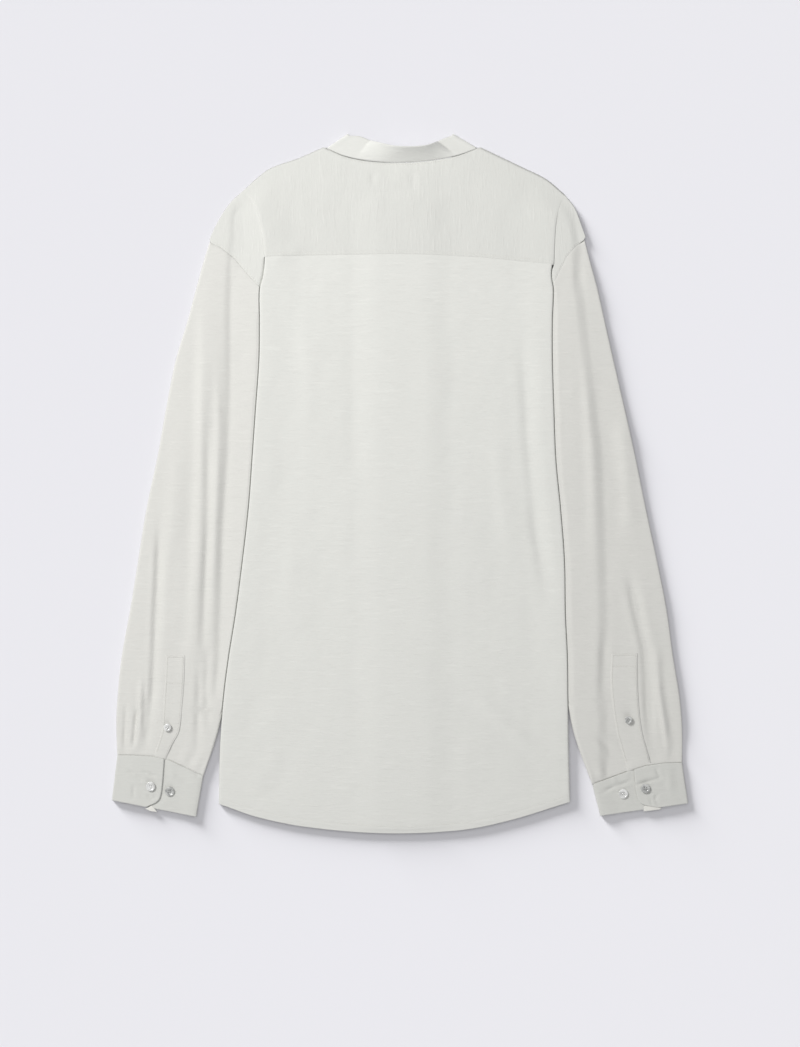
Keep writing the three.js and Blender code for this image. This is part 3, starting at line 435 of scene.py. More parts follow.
def strip_top(side, col, row):
    tucked = smooth((row - 257) / 7)
    near = smooth((outside(side, col, row) + 0.05) / 1.5)
    open_ = mix(1.0, near, tucked)
    soft = smooth(nearest(SHOULDER[side]["drop"], col, row)[0] / 14)
    free = CONTOUR_TOP + facet(side, col, row) * soft * smooth((row - 194) / 22)
    return mix(TUCKED, np.maximum(free, TUCKED + 0.1), open_)


def turn(centre, outward, radius, z, parts):
    """Half circle from the top of a rolled edge to its underside, at given shares."""
    a = np.pi * np.asarray(parts)
    reach = radius * np.sin(a)
    return np.column_stack([centre[0] + outward[0] * reach, centre[1] + outward[1] * reach, z + radius * np.cos(a)])


# Meshes

root_pieces = []


def weld(patches):
    points, faces, known = [], [], {}
    for grid in patches:
        rows, cols = grid.shape[:2]
        ids = np.empty((rows, cols), int)
        flat = np.array(grid, float).reshape(-1, 3)
        keys = np.round(flat * 200).astype(int).tolist()
        values = flat.tolist()
        for n, key in enumerate(map(tuple, keys)):
            got = known.get(key)
            if got is None:
                got = known[key] = len(points)
                points.append(values[n])
            ids[n // cols, n % cols] = got
        a, b, c, d = ids[:-1, :-1], ids[:-1, 1:], ids[1:, 1:], ids[1:, :-1]
        faces.append(np.stack([a, b, c, d], -1).reshape(-1, 4))
    return np.array(points), np.concatenate(faces)


def new_object(name, points, faces, sharp=None):
    mesh = bpy.data.meshes.new(name)
    x = np.asarray(points, float).copy()
    x[:, 0] += SHIFT_X
    x[:, 1] += SHIFT_Y
    mesh.from_pydata((x / 1000).tolist(), [], faces)
    mesh.polygons.foreach_set("use_smooth", [True] * len(mesh.polygons))
    mesh.update()
    obj = bpy.data.objects.new(name, mesh)
    bpy.context.scene.collection.objects.link(obj)
    return obj


def shell(name, patches, thick):
    """Closed wall of cloth on both sides of patches that share their touching points."""
    points, quads = weld(patches)
    faces = []
    for q in quads.tolist():
        f = [k for n, k in enumerate(q) if k != q[n - 1]]
        if len(set(f)) >= 3 and len(set(f)) == len(f):
            faces.append(f)
    normal = np.zeros_like(points)
    for f in faces:
        p = points[f]
        n = np.cross(p[2] - p[0], p[-1] - p[1]) if len(f) == 4 else np.cross(p[1] - p[0], p[2] - p[0])
        size = np.linalg.norm(n)
        if size > 1e-9:
            normal[f] += n / size
    normal /= np.maximum(np.linalg.norm(normal, axis=1, keepdims=True), 1e-9)
    count = len(points)
    body = np.concatenate([points + normal * thick / 2, points - normal * thick / 2])
    edges = {}
    out = []
    for f in faces:
        out.append(f)
        out.append([count + k for k in reversed(f)])
        for i, a in enumerate(f):
            edges[(a, f[(i + 1) % len(f)])] = True
    for a, b in edges:
        if (b, a) not in edges:
            out.append([b, a, count + a, count + b])
    return new_object(name, body, out)


def densify(values, per):
    """Adds points between table shares so that each gap is split in the same number."""
    out = [values[0]]
    for a, b in zip(values, values[1:]):
        out += [a + (b - a) * (k + 1) / per for k in range(per)]
    return np.array(out)


def make_back():
    down = np.concatenate([
        np.linspace(-0.008, 0.016, 20)[:-1], np.linspace(0.016, 0.968, 214)[:-1],
        np.linspace(0.968, 0.99, 12)[:-1], np.linspace(0.99, 1, 8),
    ])
    across = 150
    lines = []
    for f in down:
        sunk = 0.62 * (1 - smooth((f + 0.0035) / 0.0045))
        row_l = mix(257.5, 804, f)
        row_r = mix(265, 802, f)
        left = left_edge(row_l) + 0.5 * CLOTH / SQUARE
        right = right_edge(row_r) - 0.5 * CLOTH / SQUARE

        def turned(edge, row, sign):
            reach = mix(12, SIDE_TURN, smooth((row - 262) / 34))
            under = float(under_top(row))
            end = float(mix(under, GROUND, smooth((row - 297) / 14)))
            top = float(body_top(edge + sign * 1.4 / SQUARE, row)) - sunk
            radius = (top - under) / 2
            centre = place(edge + sign * radius / SQUARE, row, 0)
            roll = turn(centre, (-sign, 0), radius, under + radius, np.linspace(0, 1, 9)[1:])
            parts = np.array([0.3, 0.535, 0.7, 0.8, 0.9, 1.0])
            z = np.interp(parts, [0.535, 0.8, 1.0], [under, mix(under, end, 0.6), end])
            inner = place(edge + sign * reach * parts / SQUARE, row, z)
            return np.concatenate([roll, inner]), radius / SQUARE

        l, inset_l = turned(float(left), float(row_l), 1)
        r, inset_r = turned(float(right), float(row_r), -1)
        q = np.linspace(0, 1, across + 1)
        top_row = read(YOKE_SEAM, mix(265, 553, q))
        low_row = read(BACK_HEM, mix(219, 570, q))
        col = mix(left, right, q) + mix(inset_l, -inset_r, q)
        row = mix(top_row, low_row, f)
        height = body_top(col, row) - sunk
        lines.append(np.concatenate([l[::-1], place(col, row, height), r]))
    return shell("back_panel", [np.array(lines)[::-1]], CLOTH)


def unit(x, y):
    size = math.hypot(x, y)
    return (x / size, y / size)


def outwards(line, sign):
    p = np.asarray(line, float)
    a = np.vstack([p[:1], p[:-1]])
    b = np.vstack([p[1:], p[-1:]])
    d = np.column_stack([(b[:, 0] - a[:, 0]), (a[:, 1] - b[:, 1])])
    d /= np.linalg.norm(d, axis=1, keepdims=True)
    return np.column_stack([d[:, 1] * sign, -d[:, 0] * sign])


ARM_CORNER = {"left": unit(-0.93, 0.36), "right": unit(0.93, 0.36)}
NECK_CORNER = {"left": unit(-0.49, 0.87), "right": unit(0.49, 0.87)}
CONTOUR_RADIUS = (CONTOUR_TOP - GROUND) / 2
CONTOUR_INSET = (CONTOUR_RADIUS + 0.5 * CLOTH) / SQUARE


def armhole_line(side, move, parts=None):
    armhole = np.array(SHOULDER[side]["armhole"], float)
    away = outwards(armhole, SIGN[side])
    line = armhole + np.column_stack([away[:, 0], -away[:, 1]]) * move
    share = CONTOUR_INSET / np.hypot(*(armhole[1] - armhole[0]))
    line[0] = mix(line[0], line[1], share)
    if parts is None:
        return line
    f = np.asarray(parts, float) * 5
    i = np.minimum(f.astype(int), 4)
    return line[i] + (line[i + 1] - line[i]) * (f - i)[:, None]


def yoke_cloth(col, row):
    """The yoke's own height: its edge dips into the seam line."""
    below = (row - read(YOKE_SEAM, col)) * SQUARE
    return yoke_top(col, row) - 0.5 * smooth((below + 0.9) / 1.2)


def make_yoke():
    middle, wide, tongue, cols = 66, 34, 14, 30
    down = np.concatenate([np.linspace(0, 0.045, 12)[:-1], np.linspace(0.045, 1, 42)])
    rows = len(down)
    patches = []

    def seam(col):
        return read(YOKE_SEAM, col) + 0.35

    columns = {}
    for side in ("left", "right"):
        s = SHOULDER[side]
        sign = SIGN[side]
        edge = armhole_line(side, -0.12, np.linspace(0, 1, cols))
        drop = along(s["drop"], (np.arange(1, cols + 1) / cols) ** 1.5)
        whole = np.vstack([along(s["contour"], wide), drop])
        away = outwards(whole, -sign)
        away[0] = NECK_CORNER[side]
        away[-1] = ARM_CORNER[side]
        start = whole + np.column_stack([-away[:, 0], away[:, 1]]) * CONTOUR_INSET
        start[0, 0] -= sign * 0.18
        start[-1] = edge[0]
        foot = np.array([s["seam_inner"], seam(s["seam_inner"])])
        column = along([foot, start[0]], down)
        columns[side] = column
        fold = along(s["fold"][:-1] + [tuple(start[wide - 1])], down)
        fold[0, 1] = seam(fold[0, 0])
        bottom_cols = np.linspace(foot[0], fold[0, 0], wide)
        bottom = np.column_stack([bottom_cols, seam(bottom_cols)])
        main = fill(bottom, start[:wide], column, fold, down)
        fade = smooth(1 - down)
        step = fold.copy()
        step[:, 0] -= sign * 2.4 * (mix(0.55, 1.0, fade) - 0.7 * smooth(1 - down / 0.12))
        step[-1] = start[wide]
        corner = edge[-1]
        bend = mix(step[0], corner, 0.5)
        inner = np.vstack([along([corner, bend, step[0]], tongue + 1), step[1:]])
        strip = fan(edge, start[wide:][::-1], inner)
        main3 = raise_to(main, yoke_cloth)
        strip3 = raise_to(strip, lambda c, r: strip_top(side, c, r))
        high = main3[:, -1]
        base = strip3[tongue:, -1]
        parts = smooth(np.linspace(0, 1, 9))
        step3 = np.stack([mix(high, base, t) for t in parts], axis=1)
        dip = 0.9 * np.sin(np.pi * parts) ** 2
        step3[:, :, 2] -= dip[None, :] * smooth(1.15 - down)[:, None] * (0.2 + 0.8 * smooth((1 - down) / 0.2))[:, None]
        tops = np.vstack([main3[-1], step3[-1][1:-1], strip3[-1][::-1]])
        dirs = np.vstack([away[:wide], np.repeat(away[wide - 1:wide], 7, axis=0), away[wide:]])
        neck_end = np.array([s["front_neck"][0] - sign * 0.42, s["front_neck"][1]])
        arm2 = armhole_line(side, -0.12)[2]
        arm1 = armhole_line(side, -0.12)[1]
        turned = []
        for i, top in enumerate(tops):
            r = (top[2] - GROUND) / 2
            line = turn(top, dirs[i], r, GROUND + r, np.linspace(0, 1, 9))
            line[0] = top
            u = i / (len(tops) - 1)
            end = place(*mix(neck_end, arm2, u), GROUND)
            half = place(*arm1, GROUND) if i == len(tops) - 1 else mix(line[-1], end, 0.5)
            first = [mix(line[-1], half, t) for t in (0.34, 0.67, 1)]
            then = [mix(half, end, t) for t in (0.34, 0.67, 1)]
            turned.append(np.vstack([line, first, then]))
        by_row = np.array(turned).transpose(1, 0, 2)
        sheets = [main3, step3, by_row]
        patches += [g[:, ::-1] for g in sheets] if sign > 0 else sheets
        patches.append(strip3 if sign > 0 else strip3[:, ::-1])
    neck = along([tuple(columns["left"][-1])] + BACK_NECK[1:-1] + [tuple(columns["right"][-1])], middle)
    bottom_cols = np.linspace(columns["left"][0, 0], columns["right"][0, 0], middle)
    bottom = np.column_stack([bottom_cols, seam(bottom_cols)])
    centre = fill(bottom, neck, columns["left"], columns["right"], down)
    patches.append(raise_to(centre, yoke_cloth))
    return shell("yoke_panel", patches, CLOTH)


def side_seam(side, row):
    inset = (0.5 + SIDE_TURN + 0.3) / SQUARE
    return left_edge(row) + inset if side == "left" else right_edge(row) - inset


def front_height(side):
    mid = PLACKET_MID if side == "left" else RIGHT_FRONT_MID
    return lambda col, row: mix(GROUND, mid, rise(col)) + 0.0 * row


def make_front(side):
    s = SHOULDER[side]
    sign = SIGN[side]
    height = front_height(side)
    steps = [58, 47, 36, 25, 15.35] if side == "left" else [58, 47, 36, 25, 0, -15]
    centre = MID_COL - sign * np.array(densify(steps, 5)) / SQUARE
    start_row = 294.0

    def columns_at(row):
        seam = float(side_seam(side, row))
        return np.concatenate([np.linspace(seam, centre[0], 16)[:-1], centre])

    last = 804.0 if side == "left" else 802.0
    lines = []
    for edge_row in np.linspace(start_row, last, 120):
        share = (edge_row - start_row) / (last - start_row)
        cols = columns_at(edge_row)
        rows = mix(start_row, read(FRONT_HEM, cols), share)
        rows[0] = edge_row
        lines.append(place(cols, rows, height(cols, rows)))
    body = np.array(lines)
    count = 22
    armhole = armhole_line(side, -0.12)[2:]
    arm = along([tuple(p) for p in armhole], count)[::-1]
    neck_corner = (s["front_neck"][0] - sign * 0.5, s["front_neck"][1] + 0.5)
    curve = along([neck_corner] + FRONT_NECK[side], 40)
    edge_col = centre[-1]
    keep = curve[(curve[:, 0] - edge_col) * sign < -0.5]
    top_line = np.vstack([
        along([tuple(armhole[0]), neck_corner], 26)[:-1],
        keep,
        [[edge_col, 235.9]],
    ])
    first = columns_at(start_row)
    corner = arm[0]
    top_count = len(top_line)
    bottom = np.column_stack([
        np.interp(np.linspace(0, 1, top_count), np.linspace(0, 1, len(first) + 6),
                  np.concatenate([np.linspace(corner[0], first[0], 7)[:-1], first])),
        np.full(top_count, start_row),
    ])
    bottom[0] = corner
    centre_line = np.column_stack([np.full(count, edge_col), np.linspace(start_row, 235.9, count)])
    upper = fill(bottom, top_line, arm, centre_line)
    upper3 = raise_to(upper, height)
    flip = (lambda g: g) if sign > 0 else (lambda g: g[:, ::-1])
    return shell(f"front_{side}_panel", [flip(body[::-1]), flip(upper3)], CLOTH)


def make_front_placket():
    cols = MID_COL + np.linspace(-15, 15, 13) / SQUARE
    lines = []
    for f in np.linspace(0, 1, 160):
        row = mix(read(FRONT_HEM, cols), 235.9, f)
        lines.append(place(cols, row, PLACKET_MID + 0 * cols))
    return shell("front_placket_band", [np.array(lines)], CLOTH)


def make_collar():
    back_cols, rows = 90, 16
    neck_radius = (CONTOUR_TOP - GROUND) / 2
    tip_radius = 2.6
    tip_inset = (tip_radius + 0.5 * BAND) / SQUARE
    part = {}
    for side in ("left", "right"):
        sign = SIGN[side]
        away = NECK_CORNER[side]
        s = SHOULDER[side]
        tip = COLLAR_TOP[0] if side == "left" else COLLAR_TOP[-1]
        foot = (s["neck"][0] - away[0] * CONTOUR_INSET + sign * 0.3, s["neck"][1] + away[1] * CONTOUR_INSET)
        head = (tip[0] - away[0] * tip_inset, tip[1] + away[1] * tip_inset)
        mid = (PLACKET_MID if side == "left" else RIGHT_FRONT_MID + 0.2) + 0.1
        seam = along([foot, s["front_neck"]] + FRONT_NECK[side], 44)
        edge = along([head] + COLLAR_FRONT_TOP[side], 44)
        zs = mix(BAND_GROUND, mid, rise(seam[:, 0]))
        ze = mix(BAND_GROUND, mid, rise(edge[:, 0]))
        part[side] = dict(
            foot=foot, head=head,
            seam=place(seam[:, 0], seam[:, 1], zs), edge=place(edge[:, 0], edge[:, 1], ze),
            foot_roll=turn(place(*foot, 0), away, neck_radius, BAND_GROUND + neck_radius, np.linspace(0, 1, 9)),
            head_roll=turn(place(*head, 0), away, tip_radius, BAND_GROUND + tip_radius, np.linspace(0, 1, 9)),
        )
    l, r = part["left"], part["right"]
    clear = 0.6 / SQUARE
    neck = [(c, w - clear) for c, w in BACK_NECK[1:-1]]
    seam = along([l["foot"]] + neck + [r["foot"]], back_cols)
    edge = along([l["head"]] + COLLAR_TOP[1:-1] + [r["head"]], back_cols)
    lowest = BAND_GROUND + 2 * neck_radius
    tip_top = BAND_GROUND + 2 * tip_radius
    u = np.linspace(0, 1, back_cols)
    z = mix(lowest, yoke_top(seam[:, 0], seam[:, 1] + clear) + 0.3, smooth(np.minimum(u, 1 - u) * 6))
    back_seam = place(seam[:, 0], seam[:, 1], z)
    e = place(edge[:, 0], edge[:, 1], 0)
    flat = np.hypot(e[:, 0] - back_seam[:, 0], e[:, 1] - back_seam[:, 1])
    lift = np.sqrt(np.maximum((tip_top - lowest) ** 2, 25.5**2 - flat**2))
    back_edge = e.copy()
    back_edge[:, 2] = back_seam[:, 2] + lift
    lows = np.vstack([l["seam"][1:][::-1], l["foot_roll"][::-1], back_seam[1:-1], r["foot_roll"], r["seam"][1:]])
    highs = np.vstack([l["edge"][1:][::-1], l["head_roll"][::-1], back_edge[1:-1], r["head_roll"], r["edge"][1:]])
    n = len(l["seam"]) - 1 + 9
    total = len(lows)
    across = np.zeros(total)
    across[n:total - n] = 1
    t = (np.arange(total) - n) / max(1, total - 2 * n - 1)
    wave = across * (np.sin(np.clip(t, 0, 1) * math.pi)) ** 0.5
    grid = []
    for v in np.linspace(0, 1, rows):
        line = mix(lows, highs, v)
        bulge = math.sin(math.pi * v)
        # The band buckles: a bay left of its middle and a soft wave to its right.
        bay = np.exp(-(((t - 0.27) / 0.075) ** 2)) * 1.8 - np.exp(-(((t - 0.42) / 0.09) ** 2)) * 0.8
        bay = bay + np.exp(-(((t - 0.8) / 0.07) ** 2)) * 0.9
        line[:, 1] += wave * bulge * (1.2 + bay)
        line[:, 2] -= wave * v * (0.8 + 0.8 * np.sin(7.0 * t))
        grid.append(line)
    return shell("collar_band", [np.array(grid)], BAND)


def station(line):
    p = np.asarray(line, float)
    size = np.hypot(*np.diff(p, axis=0).T).sum() * SQUARE

    def at(q):
        f = np.clip(np.asarray(q, float), 0, 1) * (len(p) - 1)
        i = np.minimum(f.astype(int), len(p) - 2)
        return p[i] + (p[i + 1] - p[i]) * (f - i)[..., None]

    out_dir = unit(p[0, 0] - p[1, 0], p[1, 1] - p[0, 1])
    in_dir = unit(p[-1, 0] - p[-2, 0], p[-2, 1] - p[-1, 1])
    return at, size, out_dir, in_dir


def sleeve_stations(side):
    """Lines across the sleeve, from the armhole seam down to the cuff seam."""
    s = SHOULDER[side]
    arm = np.array(s["armhole"], float)
    away = outwards(arm, SIGN[side])
    first = arm - np.column_stack([away[:, 0], -away[:, 1]]) * 0.5
    last = np.array(CUFF_SEAM[side], float) + [0, 0.7]
    shares = np.linspace(0, 1, 46)
    start = station(first)[0](shares)
    bend = start - mix(first[0], first[5], shares[:, None])
    lines = [start]
    for i, (oc, orow, ic, irow) in enumerate(SLEEVE[side]):
        share = [0.65, 0.3][i] if i < 2 else 0.0
        lines.append(mix(np.array([oc, orow], float), np.array([ic, irow], float), shares[:, None]) + bend * share)
    lines.append(station(last)[0](shares))
    lines = np.array(lines)
    return lines


def resample(lines, count):
    """Smooth in-between lines along the length of a sleeve."""
    mid = lines.mean(axis=1)
    run = np.concatenate([[0], np.cumsum(np.hypot(*np.diff(mid, axis=0).T))])
    at = np.linspace(0, run[-1], count)
    out = np.empty((count,) + lines.shape[1:])
    for j in range(lines.shape[1]):
        for k in range(2):
            out[:, j, k] = read(np.column_stack([run, lines[:, j, k]]), at)
    return out


def make_sleeve(side):
    lines = resample(sleeve_stations(side), 230)
    rings = []
    q = np.linspace(0, 1, 46)
    fine = np.linspace(0, 1, 500)
    for i, line in enumerate(lines):
        size = np.hypot(*np.diff(line, axis=0).T).sum() * SQUARE

        def at(t):
            return np.column_stack([np.interp(t, q, line[:, 0]), np.interp(t, q, line[:, 1])])

        probe = at(np.array([2 / size, 1 - 1 / size]))
        ends = sleeve_top(side, probe[:, 0], probe[:, 1])
        out_r = (float(ends[0]) - GROUND) / 2
        in_r = (float(ends[1]) - GROUND) / 2
        a = (out_r + 0.5 * CLOTH) / size
        b = 1 - (in_r + 0.5 * CLOTH + 0.3 * (i == 0)) / size
        trial = at(mix(a, b, fine))
        out = outside(side, trial[:, 0], trial[:, 1])
        weight = 1 + 7 * np.exp(-(((out - 1.2) / 2.2) ** 2)) - 0.55 * smooth(-out / 6)
        total = np.cumsum(weight)
        total = (total - total[0]) / (total[-1] - total[0])
        top = at(mix(a, b, np.interp(np.linspace(0, 1, 66), total, fine)))
        sunk = 0.45 * max(0.0, 1 - i / 2) + 0.55 * max(0.0, 1 - (len(lines) - 1 - i) / 1.2)
        top3 = raise_to(top, lambda c, r: sleeve_top(side, c, r) - sunk)
        top3[0, 2] = GROUND + 2 * out_r
        top3[-1, 2] = GROUND + 2 * in_r
        d0 = line[0] - line[2]
        d1 = line[-1] - line[-3]
        out_dir = ARM_CORNER[side] if i == 0 else unit(d0[0], -d0[1])
        in_dir = unit(d1[0], -d1[1])
        inner = turn(top3[-1], in_dir, in_r, GROUND + in_r, np.linspace(0, 1, 8)[1:])
        outer = turn(top3[0], out_dir, out_r, GROUND + out_r, np.linspace(0, 1, 8)[1:])
        under = at(np.linspace(0.9, 0.1, 13))
        under3 = place(under[:, 0], under[:, 1], GROUND)
        rings.append(np.vstack([top3, inner, under3, outer[::-1], top3[:1]]))
    return shell(f"sleeve_{side}_tube", [np.array(rings)], CLOTH)


CUFF_CREASES = {
    "left": [
        ([(126, 769), (136, 775), (145, 781)], -1.0, 2.4),
        ([(141, 771), (158, 777)], -0.9, 2.2),
        ([(133.5, 783), (134, 799)], -0.8, 2.0),
        ([(146, 793), (152, 799), (158, 795)], -0.7, 2.2),
        ([(181, 764), (192, 770), (203, 779)], -1.1, 2.2),
        ([(170, 770), (176, 778)], 0.6, 3.0),
    ],
    "right": [
        ([(598, 794), (615, 786), (638, 779)], -1.2, 2.4),
        ([(630, 786.5), (648, 781), (664, 777)], -1.2, 2.3),
        ([(655, 765), (657, 772), (661, 780)], -0.8, 2.2),
        ([(657, 792), (655, 799), (658, 806)], -0.9, 2.0),
        ([(650, 797), (652, 806)], -0.7, 1.8),
        ([(668, 766), (671, 794)], 0.6, 4.0),
        ([(612, 776), (616, 783)], 0.6, 3.0),
    ],
}


def cuff_lines(side):
    """Stations of the cuff, from its seam to its lower edge."""
    seam = np.array(CUFF_SEAM[side], float) + [0, 0.1]
    shares = np.linspace(0, 1, 46)
    lines = [station(seam)[0](shares)]
    for oc, orow, ic, irow in CUFF[side]:
        lines.append(mix(np.array([oc, orow], float), np.array([ic, irow], float), shares[:, None]))
    return np.array(lines)


def make_cuff(side):
    down = 46
    lines = resample(cuff_lines(side), down)
    parts = np.linspace(0, 1, down)
    lap_at = read(CUFF_LAP[side], parts, 1)
    start_at = read(CUFF_LAP[side], parts, 2)
    radius = (CUFF_SIDE - BAND_GROUND) / 2
    shares = np.linspace(0, 1, 46)
    rings = []
    for line, lap, start, v in zip(lines, lap_at, start_at, parts):
        size = np.hypot(*np.diff(line, axis=0).T).sum() * SQUARE

        def at(t):
            return np.column_stack([np.interp(t, shares, line[:, 0]), np.interp(t, shares, line[:, 1])])

        a = (radius + 0.5 * BAND) / size
        lower_q = np.linspace(start, 1 - a, 40)
        upper_q = np.linspace(a, lap, 36)
        lower = at(lower_q)
        upper = at(upper_q)
        zl = cuff_low(lower_q) - 0.5
        zu = cuff_high(upper_q)
        open_lower = smooth((lower_q - lap - 0.03) / 0.06)
        zl = zl + open_lower * (lifted(CUFF_CREASES[side], lower[:, 0], lower[:, 1]) + 0.5)
        zu = zu + smooth((upper_q - a) / 0.06) * lifted(CUFF_CREASES[side], upper[:, 0], upper[:, 1])
        top_dip = 0.35 * float(1 - smooth(v / 0.03))
        zl = zl - top_dip
        zu = zu - top_dip
        zl[-1] = CUFF_SIDE
        zu[0] = CUFF_SIDE
        low3 = place(lower[:, 0], lower[:, 1], zl)
        high3 = place(upper[:, 0], upper[:, 1], zu)
        d0 = line[0] - line[2]
        d1 = line[-1] - line[-3]
        inner = turn(low3[-1], unit(d1[0], -d1[1]), radius, BAND_GROUND + radius, np.linspace(0, 1, 8)[1:])
        outer = turn(high3[0], unit(d0[0], -d0[1]), radius, BAND_GROUND + radius, np.linspace(0, 1, 8)[1:])
        under = at(np.linspace(0.9, 0.1, 13))
        under3 = place(under[:, 0], under[:, 1], BAND_GROUND)
        rings.append(np.vstack([low3, inner, under3, outer[::-1], high3]))
    return shell(f"cuff_{side}_band", [np.array(rings)], BAND)


def make_lap_corner(side):
    """Pale turned corner of the lower layer, seen in the notch at the cuff's lower edge."""
    if side == "left":
        upper, lower = [(145.5, 808.2), (149, 807), (152, 804.6)], [(150, 810.6), (154, 811.4), (157.5, 811.9)]
    else:
        upper, lower = [(643, 806.6), (648, 804.4), (660.5, 805.2)], [(643.5, 811.2), (651, 810.3), (661, 808.9)]
    top = along(upper, 14)
    low = along(lower, 14)
    v = np.linspace(0, 1, 8)[:, None, None]
    grid = mix(top[None], low[None], v)
    z = 2.75 + 0.35 * np.sin(np.pi * np.linspace(0, 1, 14))[None, :] + 0.25 * v[:, :, 0]
    return shell(f"cuff_{side}_corner", [place(grid[..., 0], grid[..., 1], z)], 0.4)


def placket_top(side, col, row):
    near = [sleeve_top(side, col + dc, row + dr) for dc in (-4, 0, 4) for dr in (-6, 0, 6)]
    return np.max(near, axis=0) * 0.4 + np.mean(near, axis=0) * 0.6 + 0.3


def make_sleeve_placket(side):
    table = PLACKET[side]
    seam = np.array(sorted(CUFF_SEAM[side]), float)
    share = np.linspace(0, 1, 18)
    ends = mix(read(table, table[-1, 0], 1), read(table, table[-1, 0], 2), share)
    bottom = np.interp(ends, seam[:, 0], seam[:, 1]) + 0.5
    lines = []
    for f in np.linspace(0, 1, 70):
        rows = mix(table[0, 0], bottom, f)
        cols = mix(read(table, rows, 1), read(table, rows, 2), share)
        free = smooth((rows - 690) / 12) * (1 - smooth((rows - 748) / 8)) if side == "left" else 0.45
        k = np.arange(18)
        body = smooth(np.minimum(k, 3) / 3) * (1 - (1 - smooth((17 - k) / 3)) * (1 - free)) * smooth(f / 0.04)
        z = mix(sleeve_top(side, cols, rows) + 0.12, placket_top(side, cols, rows), body)
        z = z - 0.6 * smooth(1 - (bottom - rows) / 3)
        lines.append(place(cols, rows, z))
    return shell(f"sleeve_{side}_placket", [np.array(lines)], CLOTH)


# Sewing: short rounded stitches that dip into the cloth at both ends


def stitches(name, runs, pitch=3.0, length=2.2, radius=0.2, dip=1.0):
    """runs are (path on the sheet, height over it) pairs; the stitches follow each path."""
    points, faces = [], []
    sides = 5
    turns = np.linspace(0, math.tau, sides, endpoint=False)
    for path, height in runs:
        p = np.asarray(path, float)
        total = np.hypot(*np.diff(p, axis=0).T).sum() * SQUARE
        count = max(1, int(total / pitch))
        dense = along(p, count * 4 + 1)
        z = np.asarray(height(dense[:, 0], dense[:, 1]), float) + 0 * dense[:, 0]
        spine = place(dense[:, 0], dense[:, 1], z)
        share = length / pitch
        for k in range(count):
            a = np.linspace(k + (1 - share) / 2, k + (1 + share) / 2, 4) / count * (len(spine) - 1)
            i = np.minimum(a.astype(int), len(spine) - 2)
            q = spine[i] + (spine[i + 1] - spine[i]) * (a - i)[:, None]
            q[:, 2] += dip * np.array([-0.12, 0.12, 0.12, -0.12])
            d = q[-1] - q[0]
            d /= np.linalg.norm(d)
            side = np.cross(d, (0, 0, 1.0))
            side /= max(np.linalg.norm(side), 1e-9)
            up = np.cross(side, d)
            first = len(points)
            for n, c in enumerate(q):
                r = radius * (0.6 if n in (0, 3) else 1.0)
                for t in turns:
                    points.append(c + side * (r * math.cos(t)) + up * (r * math.sin(t)))
            for n in range(3):
                for j in range(sides):
                    j2 = (j + 1) % sides
                    b = first + n * sides
                    faces.append([b + j, b + sides + j, b + sides + j2, b + j2])
            faces.append([first + j for j in range(sides)])
            faces.append([first + 3 * sides + j for j in reversed(range(sides))])
    return new_object(name, points, faces)


def edge_run(table, offset_col=0.0, offset_row=0.0, count=60, lo=None, hi=None):
    x = np.linspace(table[0, 0] if lo is None else lo, table[-1, 0] if hi is None else hi, count)
    return np.column_stack([x + offset_col, read(table, x) + offset_row])


